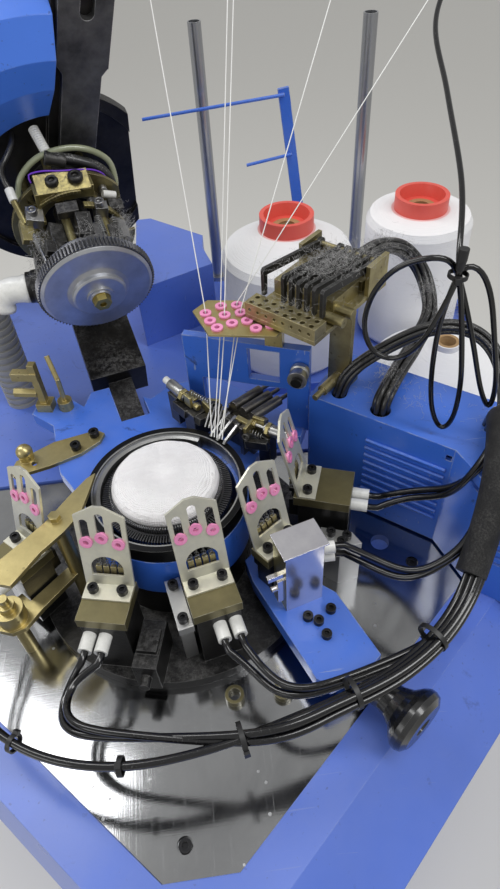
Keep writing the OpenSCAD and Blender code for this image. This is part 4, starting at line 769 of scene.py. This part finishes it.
# Suction line: grey ribbed hose below, white moulded elbow above.
suction = Finish("suction_line")
elbow = suction.axis("Z").above(1.046, 0.0006)
grime = suction.noise(32, 4, 0.65)
ribbed_grey = suction.mix(grime, (0.36, 0.36, 0.35), (0.24, 0.24, 0.235))
moulded_white = suction.mix(grime.above(0.55, 0.2) * 0.4, (0.80, 0.80, 0.78), (0.48, 0.47, 0.44))
suction.put("Base Color", suction.mix(elbow, ribbed_grey, moulded_white))
suction.put("Roughness", grime * 0.2 + 0.32)
suction.bump(grime + suction.noise(200, 2), 0.0003, 0.3, suction.edges(0.0008)[0])
dress(suction, "suction_line")


# Knob: turned black phenolic, polished, dusty in its grooves.
phenolic = Finish("black_phenolic", coat_weight=0.5, coat_roughness=0.1)
soft, corner = phenolic.edges(0.0008)
dusty = corner * phenolic.noise(140, 3).above(0.45, 0.2) * 0.5
phenolic.put("Base Color", phenolic.mix(dusty, (0.010, 0.010, 0.011), (0.12, 0.12, 0.12)))
phenolic.put("Roughness", phenolic.noise(60, 4) * 0.25 + 0.14)
phenolic.bump(phenolic.noise(300, 2), 0.0002, 0.2, soft)
dress(phenolic, "arm_knob")


# Dial head, valve side: steel rods and springs, a brass valve bracket, black bolts and blocks, and white
# fittings with a ribbed stub. Placed in the head's lowered frame, millimetres from the needle tops, and
# swung up with it.
head_place = (Matrix.Translation((0, 0, 1.01)) @ Matrix.Rotation(math.radians(14.5), 4, "Z")
              @ Matrix.Translation((0, 0.15, -0.086)) @ Matrix.Rotation(math.radians(-71), 4, "X")
              @ Matrix.Translation((0, -0.15, 0.086)))


def on_head(*point):
    return head_place @ (Vector(point) / 1000)


def local_frame(x, y, z, turn=(0, 0, 0)):
    return (head_place @ Matrix.Translation(Vector((x, y, z)) / 1000)
            @ Matrix.Rotation(turn[2], 4, "Z") @ Matrix.Rotation(turn[1], 4, "Y") @ Matrix.Rotation(turn[0], 4, "X"))


def add_spring(mesh, start, end, radius, wire, turns, sides=6):
    way = facing_along(end - start, start)
    length = (end - start).length
    steps = turns * 14
    step = 2 * math.pi / 14
    spots = [way @ Vector((radius * math.cos(i * step), radius * math.sin(i * step), length * i / steps))
             for i in range(steps + 1)]
    for a, b in zip(spots, spots[1:]):
        add_rod(mesh, a, b, wire, sides)


def add_cap_screw(mesh, place, direction, radius=0.0042, height=0.005):
    """Socket head with a countersunk hexagon."""
    placed = facing_along(direction, place)
    add_turned(mesh, [(radius * 0.45, height * 0.5), (radius * 0.55, height), (radius * 0.9, height),
                      (radius, height * 0.85), (radius, 0), (0.0001, 0), (0.0001, height * 0.5)], placed, 24)


steel_bits = bmesh.new()
toward_eye = (head_place.to_3x3() @ Vector((0, -1, 0))).normalized()
add_rod(steel_bits, on_head(19.6, -31, 96), on_head(18.6, -40, 22), 0.0017)
add_rod(steel_bits, on_head(-43, -30, 72), on_head(-38, -31, 22), 0.0016)
add_spring(steel_bits, on_head(19.2, -34.5, 60), on_head(18.8, -38, 34), 0.0034, 0.0006, 9)
add_spring(steel_bits, on_head(-41, -30.4, 58), on_head(-39.4, -30.8, 40), 0.0030, 0.0005, 7)
add_spring(steel_bits, on_head(34, -26, 62), on_head(34, -30, 30), 0.0036, 0.0006, 10)
add_block(steel_bits, (0.016, 0.012, 0.015), local_frame(-37, -36, 76, (0.2, 0.1, 0.3)))
add_block(steel_bits, (0.012, 0.016, 0.010), local_frame(24, -36, 66, (0, 0, 0.2)))
add_block(steel_bits, (0.010, 0.010, 0.024), local_frame(38, -20, 52, (0, 0, 0.7)))
for x, y, z in [(-37, -42, 76), (24, -45, 66), (19.6, -34, 80)]:
    add_cap_screw(steel_bits, on_head(x, y, z), toward_eye, 0.0048)
for x, y in [(-20, -46), (0, -52), (34, -36), (-44, -20)]:
    add_cap_screw(steel_bits, on_head(x, y, 96), (head_place.to_3x3() @ Vector((0, 0, -1))), 0.004)
finished("head_steel_parts", steel_bits, machined("head_part_steel", (0.34, 0.34, 0.34), 0.18), "head",
         bevel=0.0003)

stub = bmesh.new()
stub_start, stub_end = on_head(-13, -72, 149), on_head(-8, -64, 122)
stub_profile = [(0.0001, 0.0)]
for i in range(12):
    z = i * (stub_end - stub_start).length / 12
    stub_profile += [(0.0042, z), (0.0050, z + 0.0008), (0.0042, z + 0.0017)]
stub_profile += [(0.0001, (stub_end - stub_start).length)]
add_turned(stub, stub_profile, facing_along(stub_end - stub_start, stub_start), 24)
add_rod(stub, on_head(32, -36, 88), on_head(44, -31, 88), 0.0036)
add_rod(stub, on_head(-51, -47, 106), on_head(-50, -43, 94), 0.0042)
finished("head_white_fittings", stub, white_plastic, "head", 50)

brass_bits = bmesh.new()
add_block(brass_bits, (0.052, 0.013, 0.014), local_frame(-2, -49, 89, (0, 0, 0.06)))
add_block(brass_bits, (0.050, 0.003, 0.020), local_frame(-3, -57, 90, (0.35, 0, 0.06)))
add_block(brass_bits, (0.004, 0.030, 0.016), local_frame(-29, -42, 88))
add_rod(brass_bits, on_head(-50, -43, 95), on_head(-46, -34, 72), 0.0032)
add_block(brass_bits, (0.012, 0.008, 0.022), local_frame(-47, -30, 66, (0.2, 0, 0.3)))
for start_angle, end_angle, radius, z in [(238, 282, 52, 82), (282, 340, 47, 68)]:
    steps = 12
    for i in range(steps):
        a, b = (math.radians(start_angle + (end_angle - start_angle) * k / steps) for k in (i, i + 1))
        middle = (a + b) / 2
        add_block(brass_bits, (0.0035, radius * (b - a) / 1000 * 1.06, 0.006),
                  local_frame(radius * math.cos(middle), radius * math.sin(middle), z, (0, 0, middle)))
for x, y in [(-29, -34), (44, -14)]:
    add_rod(brass_bits, on_head(x, y, 98), on_head(x, y, 68), 0.0022)
finished("head_brass_parts", brass_bits, head_brass, "head", bevel=0.0004)

dark_bits = bmesh.new()
for x, z, r in [(-12, 90, 0.0062), (10, 90, 0.0072)]:
    add_turned(dark_bits, [(0.0001, 0), (r, 0), (r, 0.004), (r * 0.8, 0.0055), (r * 0.5, 0.0055), (r * 0.45, 0.002),
                           (0.0001, 0.002)], facing_along(toward_eye, on_head(x, -58, z)), 28)
for x, y, z, sx, sy, sz in [(-22, -30, 52, 16, 14, 22), (4, -44, 44, 14, 10, 26), (-28, -34, 34, 18, 10, 14),
                            (30, -28, 40, 10, 12, 20), (-6, -46, 66, 20, 9, 12), (40, -26, 76, 14, 14, 12)]:
    add_block(dark_bits, (sx / 1000, sy / 1000, sz / 1000), local_frame(x, y, z, (0.1, 0.05, 0.2 * (x % 3))))
add_turned(dark_bits, [(0.0001, 0), (0.0062, 0), (0.0068, 0.002), (0.0062, 0.004), (0.0058, 0.012), (0.0068, 0.016),
                       (0.006, 0.02), (0.0001, 0.02)],
           facing_along(on_head(22, -52, 112) - on_head(-8, -62, 118), on_head(-12, -64, 118)), 28)
head_dark = oiled("head_dark_parts", (0.014, 0.014, 0.015), (0.06, 0.058, 0.055), 0.9, 0.2)
finished("head_dark_parts", dark_bits, head_dark, "head", bevel=0.0006)


# Hoses over the dial head: a clear amber-green lubrication tube in a wide arc, a thick black rubber hose
# and a thin purple wire in front of it, and a short black hose at the side.
clear_tube = Finish("clear_tube", coat_weight=0.6, coat_roughness=0.08)
clear_tube.put("Base Color", clear_tube.mix(clear_tube.noise(60, 3), (0.20, 0.22, 0.12), (0.34, 0.36, 0.25)))
clear_tube.put("Roughness", clear_tube.noise(200, 2) * 0.12 + 0.15)
clear_tube.bump(clear_tube.noise(100, 2), 0.0002, 0.2)
purple = Finish("purple_wire", base_color=(0.16, 0.04, 0.55), roughness=0.4)
purple.bump(purple.noise(700, 2), 0.0001, 0.3)
for name, radius, finish, stiffness, points in [
        ("head_clear_tube", 0.0030, clear_tube, "medium",
         [(-44, -22, 99.6), (-45, -34, 106), (-38, -50, 114), (-18, -63, 120), (8, -66, 122), (30, -61, 121),
          (47, -48, 117), (50, -32, 109), (46, -22, 99.6)]),
        ("head_thick_hose", 0.0054, dusty_hose, "medium",
         [(-8, -63, 118), (4, -60, 117), (20, -55, 114), (35, -47, 111), (44, -34, 107), (45, -20, 103), (42, -12, 99.6)]),
        ("head_purple_wire", 0.0008, purple, "limp",
         [(-30, -54, 100.5), (-30, -60, 104), (-18, -63, 102), (-2, -62, 99), (14, -61, 97), (28, -56, 99),
          (38, -46, 102), (42, -36, 100.5)]),
        ("head_side_hose", 0.0026, dusty_hose, "medium",
         [(-51, -48, 107), (-53, -54, 114), (-51, -62, 119), (-44, -66, 126), (-36, -70, 138), (-34, -72, 149)])]:
    free_hose(name, smooth([on_head(*p) for p in points], 0.004), radius, finish, "head_hoses", "head")



# Suction stub of the dial: a black drum on the head's left side with a white moulded pipe elbow.
stub_finish = oiled("drum_black", (0.012, 0.012, 0.013), (0.05, 0.048, 0.046), 0.6, 0.2)
drum = bmesh.new()
drum_place = facing_along(on_head(-66, 4, 32) - on_head(-46, 4, 30), on_head(-46, 4, 30))
add_turned(drum, [(0.0001, 0), (0.0150, 0), (0.0160, 0.001), (0.0160, 0.010), (0.0148, 0.0115), (0.0148, 0.016),
                  (0.0001, 0.016)], drum_place, 48)
add_block(drum, (0.008, 0.016, 0.040), local_frame(-46, -10, 36, (0, 0.1, 0.2)))
finished("suction_drum", drum, stub_finish, "head", bevel=0.0005)
pipe = bmesh.new()
pipe_line = smooth([on_head(*p) for p in [(-61, 4, 31), (-68, 4, 32), (-78, 5, 34), (-87, 10, 33), (-92, 20, 29)]], 0.003)
rings = []
side = Vector((0, 0, 1))
for i, point in enumerate(pipe_line):
    ahead = (pipe_line[min(i + 1, len(pipe_line) - 1)] - pipe_line[max(i - 1, 0)]).normalized()
    side = (side - ahead * side.dot(ahead)).normalized()
    reach_out = 0.0136 if i < 2 or i > len(pipe_line) - 3 else 0.0126
    turns = [k * math.pi / 16 for k in range(32)]
    spots = [point + (side * math.cos(a) + ahead.cross(side) * math.sin(a)) * reach_out for a in turns]
    loop = [pipe.verts.new(spot) for spot in spots]
    rings.append([pipe.edges.new(pair) for pair in zip(loop, loop[1:] + loop[:1])])
for one, two in zip(rings, rings[1:]):
    bmesh.ops.bridge_loops(pipe, edges=one + two)
elbow_piece = finished("suction_stub", pipe, white_plastic, "head", 40)
wall = elbow_piece.modifiers.new("wall", "SOLIDIFY")
wall.thickness = 0.0016


# Selector jacks: spring steel jacks with brass collars, four in each station's arched window.
jack_steel, jack_brass = bmesh.new(), bmesh.new()
for x, y, turn, length in stations:
    at_station = Matrix.Translation(above_needles(x, y, 0)) @ Matrix.Rotation(math.radians(turn), 4, "Z")
    for k in (-1.5, -0.5, 0.5, 1.5):
        low, high = at_station @ Vector((0.0064, k * 0.006, -0.0210)), at_station @ Vector((0.0030, k * 0.0056, -0.0035))
        add_spring(jack_steel, low, high, 0.0017, 0.0004, 6, 5)
        add_rod(jack_steel, high, high + Vector((0, 0, 0.005)), 0.0009, 10)
        add_block(jack_brass, (0.0034, 0.0049, 0.0078), at_station @ Matrix.Translation((0.0052, k * 0.0060, -0.0125))
                  @ Matrix.Rotation(-0.24, 4, "Y"))
finished("selector_springs", jack_steel, machined("spring_steel", (0.22, 0.22, 0.22), 0.2), "frame")
finished("selector_collars", jack_brass, dusty_brass, "frame", bevel=0.0004)


# Thread cutter and clamp beside the needles: two small pneumatic cylinders with brass noses and white
# fittings, on black blocks, with brass brackets and spring steel levers between them.
cutter_steel, cutter_brass, cutter_dark, cutter_white = bmesh.new(), bmesh.new(), bmesh.new(), bmesh.new()


def block_at(mesh, x, y, z, sx, sy, sz, turn=0.0, tip=0.0):
    add_block(mesh, (sx / 1000, sy / 1000, sz / 1000), Matrix.Translation(above_needles(x, y, z))
              @ Matrix.Rotation(math.radians(turn), 4, "Z") @ Matrix.Rotation(math.radians(tip), 4, "Y"))


def cylinder_between(start, end):
    a, b = above_needles(*start), above_needles(*end)
    way = (b - a).normalized()
    reach = (b - a).length
    placed = facing_along(way, a)
    add_turned(cutter_steel, [(0.0001, 0), (0.0052, 0), (0.0056, 0.0006), (0.0056, reach * 0.42),
                              (0.0050, reach * 0.44), (0.0050, reach * 0.60), (0.0001, reach * 0.60)], placed, 28)
    add_turned(cutter_brass, [(0.0051, reach * 0.46), (0.0068, reach * 0.46), (0.0068, reach * 0.56),
                              (0.0051, reach * 0.56)], placed, 6)
    add_rod(cutter_steel, a + way * reach * 0.6, b, 0.0018)
    add_rod(cutter_brass, b - way * 0.004, b + way * 0.002, 0.0034, 6)
    add_rod(cutter_white, a - way * 0.008, a + way * 0.001, 0.0036, 20)


cylinder_between((10, 115, 15), (34, 80, 12))
cylinder_between((110, 26, 14), (82, 49, 12))
block_at(cutter_dark, 16, 106, -6, 14, 14, 34, 34)
block_at(cutter_dark, 33, 84, -8, 20, 16, 30, 34)
block_at(cutter_dark, 20, 92, 2, 12, 20, 9, 34, 12)
block_at(cutter_dark, 38, 70, 5, 16, 7, 7, 40, 20)
block_at(cutter_dark, 94, 39, -10, 12, 12, 34, -38)
block_at(cutter_dark, 84, 34, 0, 22, 6, 9, -30, -10)
for x, y, z, sx, sy, sz, turn, tip in [
        (43, 78, 2, 3, 14, 28, 30, 0), (50, 88, -6, 12, 3, 36, -20, 0), (30, 96, 12, 10, 14, 3, 34, 0),
        (26, 86, 16, 3, 10, 12, 34, 0), (78, 44, 4, 3, 14, 26, -38, 0), (88, 48, 8, 12, 3, 22, -38, 0),
        (74, 52, 14, 14, 5, 3, -38, 10), (60, 92, -14, 14, 10, 6, 10, 0)]:
    block_at(cutter_brass, x, y, z, sx, sy, sz, turn, tip)
for k in range(5):
    root = above_needles(44 + k * 3.2, 66 - k * 2.4, 15 + 0.6 * k)
    add_rod(cutter_steel, root, root + Vector((-0.005, -0.013, -0.004)), 0.0009, 8)
    add_rod(cutter_steel, root, root + Vector((0.004, 0.010, 0.002)), 0.0009, 8)
for p, d in [((33, 84, 8), (0.1, -0.2, 1)), ((16, 106, 12), (0, 0, 1)), ((43, 69, 6), (0.5, -1, 0.2)),
             ((94, 39, 8), (0, 0, 1)), ((76, 38, 8), (-0.6, -0.8, 0.2)), ((50, 86, 8), (-0.3, -1, 0.1)), ((64, 92, -11), (0, 0, 1))]:
    add_cap_screw(cutter_dark, above_needles(*p), Vector(d), 0.0038, 0.004)
add_spring(cutter_steel, above_needles(30, 98, 14), above_needles(46, 82, 14), 0.0024, 0.0005, 8, 5)
add_spring(cutter_steel, above_needles(72, 50, 8), above_needles(90, 36, 6), 0.0024, 0.0005, 8, 5)
finished("cutter_steel_parts", cutter_steel, machined("cutter_steel", (0.42, 0.42, 0.41), 0.16), "frame")
finished("cutter_brass_parts", cutter_brass,
         brass("cutter_brass", (0.50, 0.43, 0.19), (0.28, 0.23, 0.11), 0.26, lint=0.3), "frame", bevel=0.0004)
finished("cutter_dark_parts", cutter_dark, oiled("cutter_black", (0.014, 0.014, 0.015), (0.07, 0.068, 0.065), 0.8, 0.22),
         "frame", bevel=0.0005)
finished("cutter_fittings", cutter_white, white_plastic, "frame", bevel=0.0003)


# Louvres: eight pressed ribs on the cable box's front wall, painted with it.
box_place = Matrix.Translation((0, 0, 1.01)) @ Matrix.Rotation(math.radians(-39.8), 4, "Z")
louvres = bmesh.new()
for k in range(8):
    add_block(louvres, (0.076, 0.003, 0.006), box_place @ Matrix.Translation((0.160, 0.1405, -0.008 - 0.0095 * k))
              @ Matrix.Rotation(0.5, 4, "X"))
finished("box_louvres", louvres, casting_blue, "frame", bevel=0.0009)


# Fibre fly: grey lint that the yarns shed. It hangs in wisps on the levers, the dial head and the box.
lint = Finish("fibre_fly", base_color=(0.46, 0.455, 0.45), roughness=1.0)
lint.bump(lint.noise(2000, 1), 0.0001, 0.3)


def fly(name, spots, body="frame", seed=1):
    """Wisps of curled fibres; spots are (centre, spread, count)."""
    luck = random.Random(seed)
    curve = bpy.data.curves.new(name, "CURVE")
    curve.dimensions = "3D"
    curve.bevel_depth = 0.00007
    curve.bevel_resolution = 0
    for centre, spread, count in spots:
        for _ in range(2 * count):
            point = Vector(centre) + Vector([luck.gauss(0, s) for s in spread])
            way = Vector([luck.gauss(0, 1) for _ in range(3)]).normalized()
            spline = curve.splines.new("POLY")
            spline.points.add(6)
            for target in spline.points:
                target.co = (*point, 1)
                way = (way + Vector([luck.gauss(0, 0.5) for _ in range(3)])).normalized()
                point = point + way * luck.uniform(0.0007, 0.0018)
    curve.materials.append(lint.material)
    piece = bpy.data.objects.new(name, curve)
    bpy.context.scene.collection.objects.link(piece)
    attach(piece, body)


comb_place = Matrix.Translation((0.091, 0.092, 1.01 + 0.106)) @ Matrix.Rotation(math.radians(-46), 4, "Z")
bank = [(comb_place @ Vector((0.042, y, z)), (0.018, 0.010, 0.0022), n)
        for y, z, n in [(0.03, 0.036, 130), (0.055, 0.032, 170), (0.078, 0.030, 170), (0.012, 0.020, 60)]]
fly("fly_on_levers", bank, seed=3)
head_spots = [(on_head(*p), (0.0048, 0.0048, 0.006), n) for p, n in
              [((42, -20, 60), 150), ((38, -26, 40), 120), ((40, -14, 92), 110), ((-38, -34, 44), 70), ((30, -36, 24), 60),
               ((-46, -26, 24), 60), ((4, -46, 30), 50), ((40, -4, 108), 60)]]
fly("fly_on_head", head_spots, "head", seed=5)
on_lid = [((196, 62, 20.4), 18), ((240, 40, 20.4), 22), ((230, 60, 20.4), 22), ((284, 10, 20.4), 14)]
on_hoses = [((250, 180, 92), 90), ((272, 160, 60), 90), ((226, 168, 110), 100), ((262, 90, 80), 60), ((208, 60, 44), 60)]
box_spots = ([(above_needles(*p), (0.012, 0.012, 0.0012), n) for p, n in on_lid]
             + [(above_needles(*p), (0.006, 0.006, 0.005), n) for p, n in on_hoses])
fly("fly_on_box", box_spots, seed=7)
